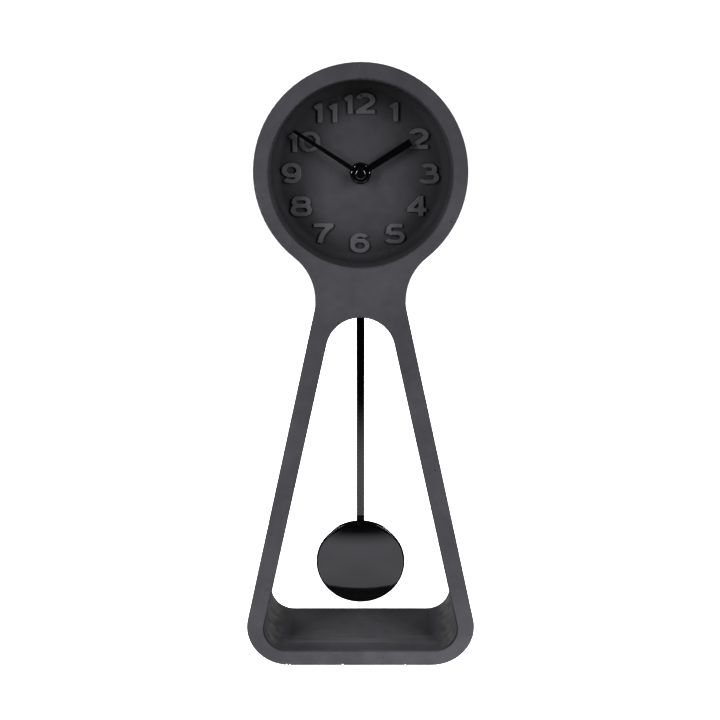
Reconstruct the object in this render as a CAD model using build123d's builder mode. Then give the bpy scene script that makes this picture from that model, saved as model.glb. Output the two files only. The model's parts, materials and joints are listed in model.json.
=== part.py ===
from build123d import *

import os
from math import acos, atan2, cos, hypot, pi, radians, sin, tan

# A free-standing pendulum clock cast in dark concrete: a round head on two
# splayed legs, with a quartz pendulum movement in the back of the head.
# X is to the right seen from the front, Y runs from front to back, Z is up,
# and the clock stands on Z = 0.

os.makedirs("parts", exist_ok=True)

# The casting: head, legs and floor bar
casting_height = 400.0
casting_depth = 60.0
head_radius = 65.1
leg_meet_radius = 10.0
foot_half_width = 85.1
base_corner_radius = 28.7
neck_radius = 34.0
leg_wall = 12.1
floor_bar = 11.0
arch_radius = 22.0
window_corner_radius = 16.8
edge_round = 1.2

# The dial recess in front and the movement pocket behind
dial_drop = 0.8
recess_radius = 56.0
recess_depth = 25.0
recess_cove = 6.0
dial_thickness = 5.0
pocket_radius = 52.0
slot_width = 26.0
slot_corner_radius = 4.0

# Felt pads under the base
pad_radius = 7.0
pad_height = 1.0
pad_reach_x = 47.0
pad_reach_y = 20.0

# Clearances, and one overrun for every cut
seat_gap = 0.02
running_gap = 0.05
free_gap = 0.3
overrun = 1.0

# The stack on the dial, from the gasket to the nut
gasket_radius = 12.0
gasket_height = 1.0
bushing_radius = 3.9
bushing_lip = 0.8
bushing_flange_radius = 5.5
bushing_flange = 0.5
dial_hole_gap = 0.3
washer_radius = 6.65
washer_height = 0.8
nut_flats = 11.0
nut_height = 2.2
nut_chamfer = 0.5

# Arbors and pipes on the hand axis
arbor_radius = 0.5
minute_radius = 1.5
minute_tip_radius = 1.25
hour_pipe_radius = 2.5
pipe_step = 1.4

# Hands and the nut that caps them
hand_thickness = 0.6
hand_spacing = 1.3
hour_hand_length = 36.5
hour_hand_root = 3.7
hour_hand_tip = 4.6
hour_hub_radius = 4.2
hour_hand_bearing = 31.8
minute_hand_length = 48.8
minute_hand_root = 2.9
minute_hand_tip = 1.9
minute_hub_radius = 3.8
minute_hand_bearing = 147.7
cap_radius = 3.6
cap_height = 2.7
cap_shoulder = 1.3
cap_bore_depth = 2.0

# The movement's plastic case, with a hood below it for the pendulum drive
case_corner = 3.0
case_wall = 1.2
case_plate = 1.5
case_inside_depth = 12.8
case_split_share = 0.53
cover_round = 0.8
hood_width = 26.0
hood_drop = 20.0
hood_mouth = 12.0
bay_end_room = 1.6
bay_side_room = 0.4
bay_rib = 1.0
post_radius = 1.3
boss_radius = 1.6
boss_height = 0.6
bearing_depth = 0.9

# Levels inside the case
wheel_gap = 0.8
wheel_thickness = 0.9
middle_plate_thickness = 1.0
middle_plate_left = 20.0
middle_plate_right = 17.8
middle_plate_top = 10.0
middle_plate_bottom = 13.5
middle_plate_corner = 2.0
post_inset = 2.4

# Tooth counts, arbor distances with their bearings, and tooth form
cannon_teeth = 15
motion_teeth = 45
motion_pinion_teeth = 12
hour_teeth = 48
knob_teeth = 15
seconds_pinion_teeth = 10
third_teeth = 75
third_pinion_teeth = 10
centre_teeth = 80
seconds_teeth = 60
intermediate_pinion_teeth = 12
intermediate_teeth = 60
rotor_teeth = 10
motion_distance = 9.0
third_distance = 9.35
intermediate_distance = 7.92
rotor_distance = 7.0
motion_bearing = -60.0
third_bearing = 180.0
intermediate_bearing = 10.0
rotor_bearing = -25.0
pressure_angle = 20.0
addendum_share = 0.8
dedendum_share = 1.15
backlash_share = 0.12
stud_radius = 0.8
hub_radius = 1.2
hole_circle_share = 0.6
hole_radius_share = 0.2
hole_count = 5

# The stepping motor
magnet_radius = 3.0
magnet_height = 2.3
magnet_core_radius = 1.2
magnet_air_gap = 0.4
stator_thickness = 0.8
stator_stand = 1.3
stator_height = 18.0
stator_wall = 1.1
stator_arm = 2.5
stator_boss_reach = 7.0
coil_offset = 7.86
coil_length = 12.6
bobbin_radius = 2.8
bobbin_flange = 0.8
winding_radius = 2.5
core_width = 3.0
core_thickness = 1.0

# The circuit board
board_width = 22.0
board_height = 13.0
board_thickness = 1.0
board_edge = 1.2
board_post_inset = 3.0
chip_radius = 3.0
chip_height = 1.2
chip_offset = 2.0
crystal_radius = 1.0
crystal_length = 6.0
crystal_offset = 6.5

# The setting knob
knob_radius = 5.0
knob_height = 3.4
knob_shaft_radius = 1.0
knob_groove_radius = 0.6
knob_groove_count = 16

# The cell and its contacts
cell_radius = 7.1
cell_length = 49.0
cell_nub_radius = 2.7
cell_nub_height = 1.4
cell_edge = 0.8
contact_width = 8.0
contact_thickness = 0.4
contact_bump_radius = 2.5

# The pendulum drive and its lever
pivot_stand = 3.3
pin_radius = 0.75
lever_hub_radius = 2.6
lever_stem_width = 4.0
lever_thickness = 2.5
magnet_drop = 10.0
drive_magnet_radius = 3.0
drive_magnet_height = 2.0
drive_magnet_stand = 0.2
magnet_cup_wall = 1.2
drive_coil_radius = 5.2
drive_coil_bore = 2.0
drive_coil_height = 3.0
peg_drop = 22.0
peg_radius = 1.0
peg_head_radius = 1.6
peg_head_height = 0.8
keyhole_drop = 3.2
keyhole_gap = 0.1

# The pendulum rod and bob
pendulum_plane = 10.0
rod_width = 5.4
rod_thickness = 1.0
rod_top_wall = 1.9
rod_top_corner = 1.2
rod_end_share = 0.2
bob_radius = 31.5
bob_height = 61.2
bob_thickness = 6.0
bob_wall = 0.8
bob_edge_radius = 1.6
bob_crown = 2.9
back_plate_thickness = 1.0
clip_wall = 0.6
clip_stand = 2.8
clip_length_share = 0.55
clip_foot_width = 14.0
clip_foot_share = 0.35
clip_loop_inset = 3.0

# Places worked out from the sizes above
half_depth = casting_depth / 2
neck_height = casting_height - head_radius
head_centre = pad_height + neck_height
lean = acos(leg_meet_radius / hypot(foot_half_width, neck_height)) - atan2(
    neck_height, foot_half_width
)
hand_axis = head_centre - dial_drop
dial_front = recess_depth - half_depth
pocket_floor = dial_front + dial_thickness
base_reach = foot_half_width - base_corner_radius * (tan(lean) + 1 / cos(lean))
window_half_foot = foot_half_width - leg_wall / cos(lean)
window_corner_height = floor_bar + window_corner_radius
window_reach = (
    window_half_foot
    - window_corner_height * tan(lean)
    - window_corner_radius / cos(lean)
)
arch_centre = pad_height + (window_half_foot - arch_radius / cos(lean)) / tan(lean)

washer_front = dial_front - washer_height
nut_front = washer_front - nut_height
bushing_front = nut_front - bushing_lip
pipe_front = bushing_front - pipe_step
minute_shoulder = pipe_front - hand_spacing
minute_hand_front = minute_shoulder - hand_thickness
cap_front = minute_hand_front - cap_height
minute_tip = minute_hand_front - cap_bore_depth + free_gap

case_front = pocket_floor + gasket_height
case_inside = case_front + case_plate
cover_inside = case_inside + case_inside_depth
case_back = cover_inside + case_plate
part_line = case_front + (case_back - case_front) * case_split_share
case_inner_half = (cell_length + cell_nub_height) / 2 + bay_end_room
case_half = case_inner_half + case_wall
bay_top = hand_axis + case_inner_half
bay_floor = bay_top - 2 * (cell_radius + bay_side_room)
hood_bottom = hand_axis - case_half - hood_drop

hour_front = case_inside + wheel_gap
hour_back = hour_front + wheel_thickness
motion_front = hour_back + wheel_gap
motion_back = motion_front + wheel_thickness
centre_front = motion_back + wheel_gap
centre_back = centre_front + wheel_thickness
plate_front = centre_back + wheel_gap
plate_back = plate_front + middle_plate_thickness
third_front = plate_back + wheel_gap
third_back = third_front + wheel_thickness
seconds_front = third_back + wheel_gap / 2
seconds_back = seconds_front + wheel_thickness
drive_front = seconds_back + wheel_gap / 2
drive_back = drive_front + wheel_thickness
stator_front = plate_back + stator_stand
stator_back = stator_front + stator_thickness
stator_middle = (stator_front + stator_back) / 2
rear_bearing = cover_inside + bearing_depth
front_bearing = case_inside - bearing_depth

rod_front = pendulum_plane - rod_thickness / 2
rod_back = pendulum_plane + rod_thickness / 2
lever_back = rod_front - free_gap
lever_front = lever_back - lever_thickness
peg_head_front = rod_back + free_gap
peg_end = peg_head_front + peg_head_height
clip_front = rod_front - running_gap - clip_wall
clip_back = rod_back + running_gap + clip_wall
bob_back = clip_front
bob_front = bob_back - bob_thickness
bob_top = bob_height + bob_radius


def polar(centre, distance, bearing):
    """A place at a distance and bearing from another, seen from the front."""
    turn = radians(bearing)
    return (centre[0] + distance * cos(turn), centre[1] + distance * sin(turn))


def module_for(distance, teeth, mate_teeth):
    """The tooth module that fills the distance between two arbors."""
    return 2 * distance / (teeth + mate_teeth)


def mesh_phase(bearing, phase, teeth, mate_teeth):
    """The turn of a mate's first tooth that lets it mesh with a wheel."""
    past_tooth = (bearing - phase) * teeth / 360 % 1
    return bearing + 180 + (past_tooth + 1 / 2) * 360 / mate_teeth


def level(depth):
    """The sketch plane that faces the front at a given depth."""
    return Plane.XZ.offset(-depth)


def round_bar(place, radius, front, back, mode=Mode.ADD):
    """A round bar or bore along the depth, in the part being built."""
    with BuildSketch(level(back)) as face:
        with Locations(place):
            Circle(radius)
    extrude(face.sketch, amount=back - front, mode=mode)


def flat_block(middle, width, height, front, back, mode=Mode.ADD):
    """A rectangular block or cut between two depths."""
    with BuildSketch(level(back)) as face:
        with Locations(middle):
            Rectangle(width, height)
    extrude(face.sketch, amount=back - front, mode=mode)


def tooth_points(place, teeth, module, phase):
    """The outline of a wheel, each flank made of chords of its involute."""
    pitch_radius = module * teeth / 2
    base_radius = pitch_radius * cos(radians(pressure_angle))
    tip_radius = pitch_radius + addendum_share * module
    root_radius = pitch_radius - dedendum_share * module

    def unroll(radius):
        """The involute's turn at a radius, zero up to the base circle."""
        angle = acos(min(base_radius / radius, 1))
        return tan(angle) - angle

    pitch_turn = pi / 2 / teeth * (1 - backlash_share) + unroll(pitch_radius)
    middle_radius = (pitch_radius + tip_radius) / 2
    flank_radii = [root_radius, middle_radius, tip_radius]
    if root_radius < base_radius < middle_radius:
        flank_radii.insert(1, base_radius)
    flank = [(radius, pitch_turn - unroll(radius)) for radius in flank_radii]
    points = []
    for tooth in range(teeth):
        middle = radians(phase) + 2 * pi * tooth / teeth
        rising = [(radius, middle - turn) for radius, turn in flank]
        falling = [(radius, middle + turn) for radius, turn in reversed(flank)]
        for radius, turn in rising + falling:
            points.append((place[0] + radius * cos(turn), place[1] + radius * sin(turn)))
    return points


def toothed_disc(place, teeth, module, phase, front, back):
    """A toothed disc in the part being built."""
    with BuildSketch(level(back)) as face:
        with BuildLine():
            Polyline(*tooth_points(place, teeth, module, phase), close=True)
        make_face()
    extrude(face.sketch, amount=back - front)


def lightening_holes(place, radius, front, back):
    """A ring of round holes through a wheel's web."""
    with BuildSketch(level(back)) as face:
        with Locations(place):
            with PolarLocations(radius * hole_circle_share, hole_count):
                Circle(radius * hole_radius_share)
    extrude(face.sketch, amount=back - front, mode=Mode.SUBTRACT)


def hand_blade(length, root_width, tip_width, bearing, front, back):
    """A straight hand that tapers from its hub to a blunt end."""

    def corner(along, across):
        """A corner by its distance along the hand and across it."""
        return polar(polar(hand_place, along, bearing), across, bearing + 90)

    with BuildSketch(level(back)) as face:
        with BuildLine():
            Polyline(
                corner(0, -root_width / 2),
                corner(length, -tip_width / 2),
                corner(length, tip_width / 2),
                corner(0, root_width / 2),
                close=True,
            )
        make_face()
    extrude(face.sketch, amount=back - front)


def case_outline(depth, inset):
    """The square case with the hood below it, drawn inside by the inset."""
    with BuildSketch(level(depth)) as outline:
        with Locations((0, hand_axis)):
            side = 2 * (case_half - inset)
            RectangleRounded(side, side, max(case_corner - inset, case_wall))
        with Locations((0, (hand_axis + hood_bottom + inset) / 2)):
            Rectangle(hood_width - 2 * inset, hand_axis - hood_bottom - inset)
    return outline.sketch


hand_place = (0, hand_axis)
motion_place = polar(hand_place, motion_distance, motion_bearing)
knob_place = polar(motion_place, motion_distance, motion_bearing)
third_place = polar(hand_place, third_distance, third_bearing)
intermediate_place = polar(hand_place, intermediate_distance, intermediate_bearing)
rotor_place = polar(intermediate_place, rotor_distance, rotor_bearing)
coil_x = rotor_place[0] + coil_offset
pivot_place = (0, hand_axis - case_half - pivot_stand)
magnet_place = (0, pivot_place[1] - magnet_drop)
peg_place = (0, pivot_place[1] - peg_drop)
board_x = -case_inner_half + board_edge + board_width / 2
board_z = hand_axis - case_inner_half + board_edge + board_height / 2
bay_middle = (bay_floor + bay_top) / 2
cell_depth = case_inside + cell_radius + free_gap

cannon_module = module_for(motion_distance, cannon_teeth, motion_teeth)
hour_module = module_for(motion_distance, motion_pinion_teeth, hour_teeth)
third_module = module_for(third_distance, seconds_pinion_teeth, third_teeth)
centre_module = module_for(third_distance, third_pinion_teeth, centre_teeth)
seconds_module = module_for(
    intermediate_distance, intermediate_pinion_teeth, seconds_teeth
)
drive_module = module_for(rotor_distance, rotor_teeth, intermediate_teeth)

motion_phase = mesh_phase(motion_bearing, 0, cannon_teeth, motion_teeth)
knob_phase = mesh_phase(motion_bearing, motion_phase, motion_teeth, knob_teeth)
hour_phase = mesh_phase(motion_bearing + 180, 0, motion_pinion_teeth, hour_teeth)
third_phase = mesh_phase(third_bearing, 0, seconds_pinion_teeth, third_teeth)
centre_phase = mesh_phase(third_bearing + 180, 0, third_pinion_teeth, centre_teeth)
intermediate_phase = mesh_phase(
    intermediate_bearing, 0, seconds_teeth, intermediate_pinion_teeth
)
rotor_phase = mesh_phase(rotor_bearing, 0, intermediate_teeth, rotor_teeth)


# The concrete casting: one outline round the head and legs, one window
with BuildPart() as cast_body:
    with BuildSketch(level(half_depth)) as outline:
        with Locations((0, head_centre)):
            Circle(leg_meet_radius)
        corner_height = pad_height + base_corner_radius
        with Locations((-base_reach, corner_height), (base_reach, corner_height)):
            Circle(base_corner_radius)
        make_hull()
        with Locations((0, head_centre)):
            Circle(head_radius)
        waist = outline.vertices().filter_by_position(
            Axis.Y, arch_centre, head_centre - head_radius / 2
        )
        fillet(waist, neck_radius)
    extrude(amount=casting_depth)
    with BuildSketch(level(half_depth)) as window:
        with Locations((0, arch_centre)):
            Circle(arch_radius)
        corner_height = pad_height + window_corner_height
        with Locations((-window_reach, corner_height), (window_reach, corner_height)):
            Circle(window_corner_radius)
        make_hull()
    extrude(amount=casting_depth, mode=Mode.SUBTRACT)
    round_bar(hand_place, recess_radius, -half_depth, dial_front, Mode.SUBTRACT)
    fillet(cast_body.faces().sort_by(Axis.Y)[0].edges(), edge_round)
    dial_rim = cast_body.edges().filter_by(GeomType.CIRCLE).filter_by_position(
        Axis.Y, dial_front - seat_gap, dial_front + seat_gap
    )
    fillet(dial_rim, recess_cove)
    with BuildSketch(level(half_depth)) as pocket:
        with Locations(hand_place):
            Circle(pocket_radius)
        with Locations((0, (arch_centre + hand_axis) / 2)):
            Rectangle(slot_width, hand_axis - arch_centre)
        with Locations((0, arch_centre)):
            Circle(arch_radius)
        slot_corners = pocket.vertices().filter_by_position(
            Axis.Y, arch_centre + seat_gap, hand_axis - seat_gap
        )
        fillet(slot_corners, slot_corner_radius)
    extrude(amount=half_depth - pocket_floor, mode=Mode.SUBTRACT)
    fillet(cast_body.faces().sort_by(Axis.Y)[-1].edges(), edge_round)
    round_bar(
        hand_place,
        bushing_radius + dial_hole_gap,
        dial_front - overrun,
        pocket_floor + overrun,
        Mode.SUBTRACT,
    )
cast_body.part.label = "cast_body"

# Four felt pads under the floor bar
with BuildPart() as foot_pads:
    with BuildSketch():
        with GridLocations(2 * pad_reach_x, 2 * pad_reach_y, 2, 2):
            Circle(pad_radius)
    extrude(amount=pad_height)
foot_pads.part.label = "foot_pads"

# The washer and hexagon nut that clamp the movement to the dial
with BuildPart() as dial_washer:
    round_bar(hand_place, washer_radius, washer_front, dial_front)
    bore = bushing_radius + running_gap
    round_bar(hand_place, bore, washer_front, dial_front, Mode.SUBTRACT)
dial_washer.part.label = "dial_washer"

with BuildPart() as dial_nut:
    with BuildSketch(level(washer_front)):
        with Locations(hand_place):
            RegularPolygon(nut_flats / 2, 6, major_radius=False)
    extrude(amount=nut_height)
    chamfer(dial_nut.faces().sort_by(Axis.Y)[0].edges(), nut_chamfer)
    bore = bushing_radius + running_gap
    round_bar(hand_place, bore, nut_front, washer_front, Mode.SUBTRACT)
dial_nut.part.label = "dial_nut"

# The rubber gasket between the movement and the back of the dial
with BuildPart() as case_gasket:
    round_bar(hand_place, gasket_radius, pocket_floor, case_front)
    bore = bushing_radius + dial_hole_gap
    round_bar(hand_place, bore, pocket_floor, case_front, Mode.SUBTRACT)
case_gasket.part.label = "case_gasket"

# The brass bushing, flanged inside the case, that carries the hour pipe
with BuildPart() as threaded_bushing:
    round_bar(hand_place, bushing_radius, bushing_front, case_inside)
    flange_back = case_inside + bushing_flange
    round_bar(hand_place, bushing_flange_radius, case_inside, flange_back)
    bore = hour_pipe_radius + running_gap
    round_bar(hand_place, bore, bushing_front, flange_back, Mode.SUBTRACT)
threaded_bushing.part.label = "threaded_bushing"

# The front half of the movement's case, with its posts, studs and ribs
with BuildPart() as movement_front_case:
    extrude(case_outline(part_line, 0), amount=part_line - case_front)
    room = case_outline(part_line, case_wall)
    extrude(room, amount=part_line - case_inside, mode=Mode.SUBTRACT)
    rib_middle = (0, bay_floor - bay_rib / 2)
    flat_block(rib_middle, 2 * case_inner_half, bay_rib, case_inside, part_line)
    post_left = -middle_plate_left + post_inset
    post_right = middle_plate_right - post_inset
    post_top = hand_axis + middle_plate_top - post_inset
    post_bottom = hand_axis - middle_plate_bottom + post_inset
    for place in (
        (post_left, post_top),
        (post_right, post_top),
        (post_left, post_bottom),
        (post_right, post_bottom),
    ):
        round_bar(place, post_radius, case_inside, plate_front)
    for side in (-1, 1):
        post_x = board_x + side * (board_width / 2 - board_post_inset)
        round_bar((post_x, board_z), post_radius, case_inside, seconds_front)
    round_bar(motion_place, stud_radius, case_inside, motion_back + free_gap)
    round_bar(pivot_place, lever_hub_radius, case_inside, lever_front - free_gap)
    pin_bore = pin_radius + seat_gap
    pin_seat = lever_front - free_gap
    round_bar(pivot_place, pin_bore, case_inside, pin_seat, Mode.SUBTRACT)
    coil_boss = drive_coil_bore - running_gap
    round_bar(magnet_place, coil_boss, case_inside, case_inside + drive_coil_height)
    for place, radius in ((third_place, arbor_radius), (knob_place, knob_shaft_radius)):
        boss_back = case_inside + boss_height
        round_bar(place, radius + boss_radius - arbor_radius, case_inside, boss_back)
        hole = radius + running_gap
        round_bar(place, hole, front_bearing, boss_back, Mode.SUBTRACT)
    hole = bushing_radius + seat_gap
    round_bar(hand_place, hole, case_front, case_inside, Mode.SUBTRACT)
    mouth_front = lever_front - free_gap
    mouth_middle = (0, hood_bottom)
    mouth_height = 2 * (case_wall + free_gap)
    flat_block(
        mouth_middle, hood_mouth, mouth_height, mouth_front, part_line, Mode.SUBTRACT
    )
movement_front_case.part.label = "movement_front_case"

# The rear cover, open over the cell, with the rear bearings of the train
with BuildPart() as movement_rear_cover:
    extrude(case_outline(case_back, 0), amount=case_back - part_line)
    outer_edge = movement_rear_cover.faces().sort_by(Axis.Y)[-1].edges()
    fillet(outer_edge, cover_round)
    room = case_outline(cover_inside, case_wall)
    extrude(room, amount=cover_inside - part_line, mode=Mode.SUBTRACT)
    flat_block(
        (0, bay_middle),
        2 * case_inner_half,
        bay_top - bay_floor,
        part_line,
        case_back,
        Mode.SUBTRACT,
    )
    flat_block(rib_middle, 2 * case_inner_half, bay_rib, part_line, cover_inside)
    for place in (hand_place, third_place, intermediate_place, rotor_place):
        boss_front = cover_inside - boss_height
        round_bar(place, boss_radius, boss_front, cover_inside)
        hole = arbor_radius + running_gap
        round_bar(place, hole, boss_front, rear_bearing, Mode.SUBTRACT)
    hole = pin_radius + seat_gap
    round_bar(pivot_place, hole, cover_inside, rear_bearing, Mode.SUBTRACT)
    hole = knob_shaft_radius + running_gap
    round_bar(knob_place, hole, cover_inside, case_back, Mode.SUBTRACT)
    mouth_back = peg_end + free_gap
    flat_block(
        mouth_middle, hood_mouth, mouth_height, part_line, mouth_back, Mode.SUBTRACT
    )
movement_rear_cover.part.label = "movement_rear_cover"

# The middle plate, which carries the motor and the back half of the train
with BuildPart() as middle_plate:
    plate_width = middle_plate_left + middle_plate_right
    plate_height = middle_plate_top + middle_plate_bottom
    plate_x = (middle_plate_right - middle_plate_left) / 2
    plate_z = hand_axis + (middle_plate_top - middle_plate_bottom) / 2
    with BuildSketch(level(plate_back)):
        with Locations((plate_x, plate_z)):
            RectangleRounded(plate_width, plate_height, middle_plate_corner)
    extrude(amount=middle_plate_thickness)
    stator_boss_x = rotor_place[0] + magnet_radius - post_radius
    for side in (-1, 1):
        place = (stator_boss_x, rotor_place[1] + side * stator_boss_reach)
        round_bar(place, post_radius, plate_back, stator_front)
    for place in (hand_place, third_place, intermediate_place, rotor_place):
        hole = arbor_radius + running_gap
        round_bar(place, hole, plate_front, plate_back, Mode.SUBTRACT)
middle_plate.part.label = "middle_plate"

# The hour wheel on its pipe, which reaches through the bushing to the hand
with BuildPart() as hour_wheel:
    toothed_disc(hand_place, hour_teeth, hour_module, hour_phase, hour_front, hour_back)
    round_bar(hand_place, hour_pipe_radius, pipe_front, hour_back)
    bore = minute_radius + running_gap
    round_bar(hand_place, bore, pipe_front, hour_back, Mode.SUBTRACT)
hour_wheel.part.label = "hour_wheel"

# The motion wheel with its pinion, turning on a stud of the front case
with BuildPart() as motion_wheel:
    toothed_disc(
        motion_place, motion_pinion_teeth, hour_module, 0, hour_front, hour_back
    )
    round_bar(motion_place, hub_radius, hour_back, motion_front)
    toothed_disc(
        motion_place,
        motion_teeth,
        cannon_module,
        motion_phase,
        motion_front,
        motion_back,
    )
    bore = stud_radius + running_gap
    round_bar(motion_place, bore, hour_front, motion_back, Mode.SUBTRACT)
motion_wheel.part.label = "motion_wheel"

# The minute arbor: a tube with the cannon pinion near its back end
with BuildPart() as minute_arbor:
    arbor_back = plate_front - free_gap
    round_bar(hand_place, minute_radius, minute_shoulder, arbor_back)
    round_bar(hand_place, minute_tip_radius, minute_tip, minute_shoulder)
    toothed_disc(
        hand_place, cannon_teeth, cannon_module, 0, motion_front, motion_back
    )
    bore = arbor_radius + running_gap
    round_bar(hand_place, bore, minute_shoulder, arbor_back, Mode.SUBTRACT)
minute_arbor.part.label = "minute_arbor"

# The centre wheel, held on the minute arbor by friction alone
with BuildPart() as centre_wheel:
    toothed_disc(
        hand_place, centre_teeth, centre_module, centre_phase, centre_front, centre_back
    )
    web_radius = centre_module * centre_teeth / 2
    lightening_holes(hand_place, web_radius, centre_front, centre_back)
    hub_front = motion_back + free_gap
    round_bar(hand_place, minute_radius + hub_radius, hub_front, centre_front)
    bore = minute_radius + running_gap
    round_bar(hand_place, bore, hub_front, centre_back, Mode.SUBTRACT)
centre_wheel.part.label = "centre_wheel"

# The third wheel, whose pinion drives the centre wheel through the plate
with BuildPart() as third_wheel:
    round_bar(
        third_place, arbor_radius, front_bearing + free_gap, rear_bearing - free_gap
    )
    toothed_disc(
        third_place, third_pinion_teeth, centre_module, 0, centre_front, centre_back
    )
    toothed_disc(
        third_place, third_teeth, third_module, third_phase, third_front, third_back
    )
    web_radius = third_module * third_teeth / 2
    lightening_holes(third_place, web_radius, third_front, third_back)
    round_bar(third_place, hub_radius, third_back, seconds_front)
third_wheel.part.label = "third_wheel"

# The seconds wheel, whose thin arbor runs inside the minute arbor
with BuildPart() as seconds_wheel:
    round_bar(hand_place, arbor_radius, dial_front, rear_bearing - free_gap)
    toothed_disc(
        hand_place, seconds_pinion_teeth, third_module, 0, third_front, seconds_front
    )
    toothed_disc(
        hand_place, seconds_teeth, seconds_module, 0, seconds_front, seconds_back
    )
    web_radius = seconds_module * seconds_teeth / 2
    lightening_holes(hand_place, web_radius, seconds_front, seconds_back)
seconds_wheel.part.label = "seconds_wheel"

# The intermediate wheel between the rotor and the seconds wheel
with BuildPart() as intermediate_wheel:
    arbor_front = plate_front + free_gap
    round_bar(
        intermediate_place, arbor_radius, arbor_front, rear_bearing - free_gap
    )
    toothed_disc(
        intermediate_place,
        intermediate_pinion_teeth,
        seconds_module,
        intermediate_phase,
        seconds_front,
        drive_front,
    )
    toothed_disc(
        intermediate_place, intermediate_teeth, drive_module, 0, drive_front, drive_back
    )
    web_radius = drive_module * intermediate_teeth / 2
    lightening_holes(intermediate_place, web_radius, drive_front, drive_back)
intermediate_wheel.part.label = "intermediate_wheel"

# The rotor: a plastic pinion with a ring magnet on its core
magnet_front = stator_middle - magnet_height / 2
magnet_back = stator_middle + magnet_height / 2
with BuildPart() as rotor_pinion:
    round_bar(
        rotor_place, arbor_radius, plate_front + free_gap, rear_bearing - free_gap
    )
    round_bar(rotor_place, magnet_core_radius, magnet_front, drive_front)
    toothed_disc(
        rotor_place, rotor_teeth, drive_module, rotor_phase, drive_front, drive_back
    )
rotor_pinion.part.label = "rotor_pinion"

with BuildPart() as rotor_magnet:
    round_bar(rotor_place, magnet_radius, magnet_front, magnet_back)
    bore = magnet_core_radius + seat_gap
    round_bar(rotor_place, bore, magnet_front, magnet_back, Mode.SUBTRACT)
rotor_magnet.part.label = "rotor_magnet"

# The stator: a steel plate round the rotor with two arms to the coil
with BuildPart() as stator:
    rotor_hole = magnet_radius + magnet_air_gap
    stator_left = rotor_place[0] - rotor_hole - stator_wall
    throat_x = rotor_place[0] + rotor_hole + stator_wall
    stator_right = coil_x + core_width / 2
    with BuildSketch(level(stator_back)):
        with Locations(((stator_left + stator_right) / 2, rotor_place[1])):
            Rectangle(stator_right - stator_left, stator_height)
        coil_room = stator_height - 2 * stator_arm
        with Locations(((throat_x + stator_right) / 2, rotor_place[1])):
            Rectangle(stator_right - throat_x, coil_room, mode=Mode.SUBTRACT)
        with Locations(rotor_place):
            Circle(rotor_hole, mode=Mode.SUBTRACT)
    extrude(amount=stator_thickness)
stator.part.label = "stator"

# The motor coil on its bobbin, and the iron core that bridges the arms
core_back = stator_back + core_thickness
core_middle = (stator_back + core_back) / 2
with BuildPart() as coil_core:
    flat_block(
        (coil_x, rotor_place[1]), core_width, stator_height, stator_back, core_back
    )
coil_core.part.label = "coil_core"

with BuildPart() as motor_coil:
    coil_bottom = rotor_place[1] - coil_length / 2
    for radius, start, length in (
        (bobbin_radius, coil_bottom, bobbin_flange),
        (winding_radius, coil_bottom, coil_length),
        (bobbin_radius, coil_bottom + coil_length - bobbin_flange, bobbin_flange),
    ):
        with BuildSketch(Plane.XY.offset(start)):
            with Locations((coil_x, core_middle)):
                Circle(radius)
        extrude(amount=length)
    with BuildSketch(Plane.XY.offset(coil_bottom)):
        with Locations((coil_x, core_middle)):
            Rectangle(core_width + 2 * running_gap, core_thickness + 2 * running_gap)
    extrude(amount=coil_length, mode=Mode.SUBTRACT)
motor_coil.part.label = "motor_coil"

# The circuit board with its bonded chip, and the quartz crystal on it
board_back = seconds_front + board_thickness
with BuildPart() as circuit_board:
    flat_block(
        (board_x, board_z), board_width, board_height, seconds_front, board_back
    )
    with BuildSketch(level(board_back)):
        with Locations((board_x - chip_offset, board_z)):
            Circle(chip_radius)
    extrude(amount=-chip_height)
    chamfer(circuit_board.faces().sort_by(Axis.Y)[-1].edges(), chip_height / 2)
circuit_board.part.label = "circuit_board"

with BuildPart() as quartz_crystal:
    crystal_z = board_z - crystal_length / 2
    with BuildSketch(Plane.XY.offset(crystal_z)):
        with Locations((board_x + crystal_offset, board_back + crystal_radius)):
            Circle(crystal_radius)
    extrude(amount=crystal_length)
    chamfer(quartz_crystal.edges().filter_by(GeomType.CIRCLE), crystal_radius / 3)
quartz_crystal.part.label = "quartz_crystal"

# The setting knob, geared to the motion wheel, behind the rear cover
knob_front = case_back + free_gap
knob_back = knob_front + knob_height
with BuildPart() as setting_knob:
    round_bar(knob_place, knob_shaft_radius, front_bearing + free_gap, knob_front)
    toothed_disc(
        knob_place, knob_teeth, cannon_module, knob_phase, motion_front, motion_back
    )
    with BuildSketch(level(knob_back)):
        with Locations(knob_place):
            Circle(knob_radius)
            with PolarLocations(knob_radius, knob_groove_count):
                Circle(knob_groove_radius, mode=Mode.SUBTRACT)
    extrude(amount=knob_height)
setting_knob.part.label = "setting_knob"

# The cell, lying across the top of the case
cell_plus_end = (cell_length - cell_nub_height) / 2
with BuildPart() as battery_cell:
    with BuildSketch(Plane.YZ.offset(-cell_length / 2 - cell_nub_height / 2)):
        with Locations((cell_depth, bay_middle)):
            Circle(cell_radius)
    extrude(amount=cell_length)
    fillet(battery_cell.edges().filter_by(GeomType.CIRCLE), cell_edge)
    with BuildSketch(Plane.YZ.offset(cell_plus_end)):
        with Locations((cell_depth, bay_middle)):
            Circle(cell_nub_radius)
    extrude(amount=cell_nub_height)
battery_cell.part.label = "battery_cell"


def contact_leaf(side, cell_end):
    """A contact plate on a bay wall, with a bump that reaches the cell."""
    wall_x = side * case_inner_half
    with BuildSketch(Plane.YZ.offset(wall_x)) as plate:
        with Locations((cell_depth, bay_middle)):
            Rectangle(contact_width, contact_width)
    extrude(plate.sketch, amount=-side * contact_thickness)
    bump_start = wall_x - side * contact_thickness
    bump_length = abs(bump_start - cell_end)
    with BuildSketch(Plane.YZ.offset(bump_start)) as bump:
        with Locations((cell_depth, bay_middle)):
            Circle(contact_bump_radius)
    extrude(bump.sketch, amount=-side * bump_length)


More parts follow.
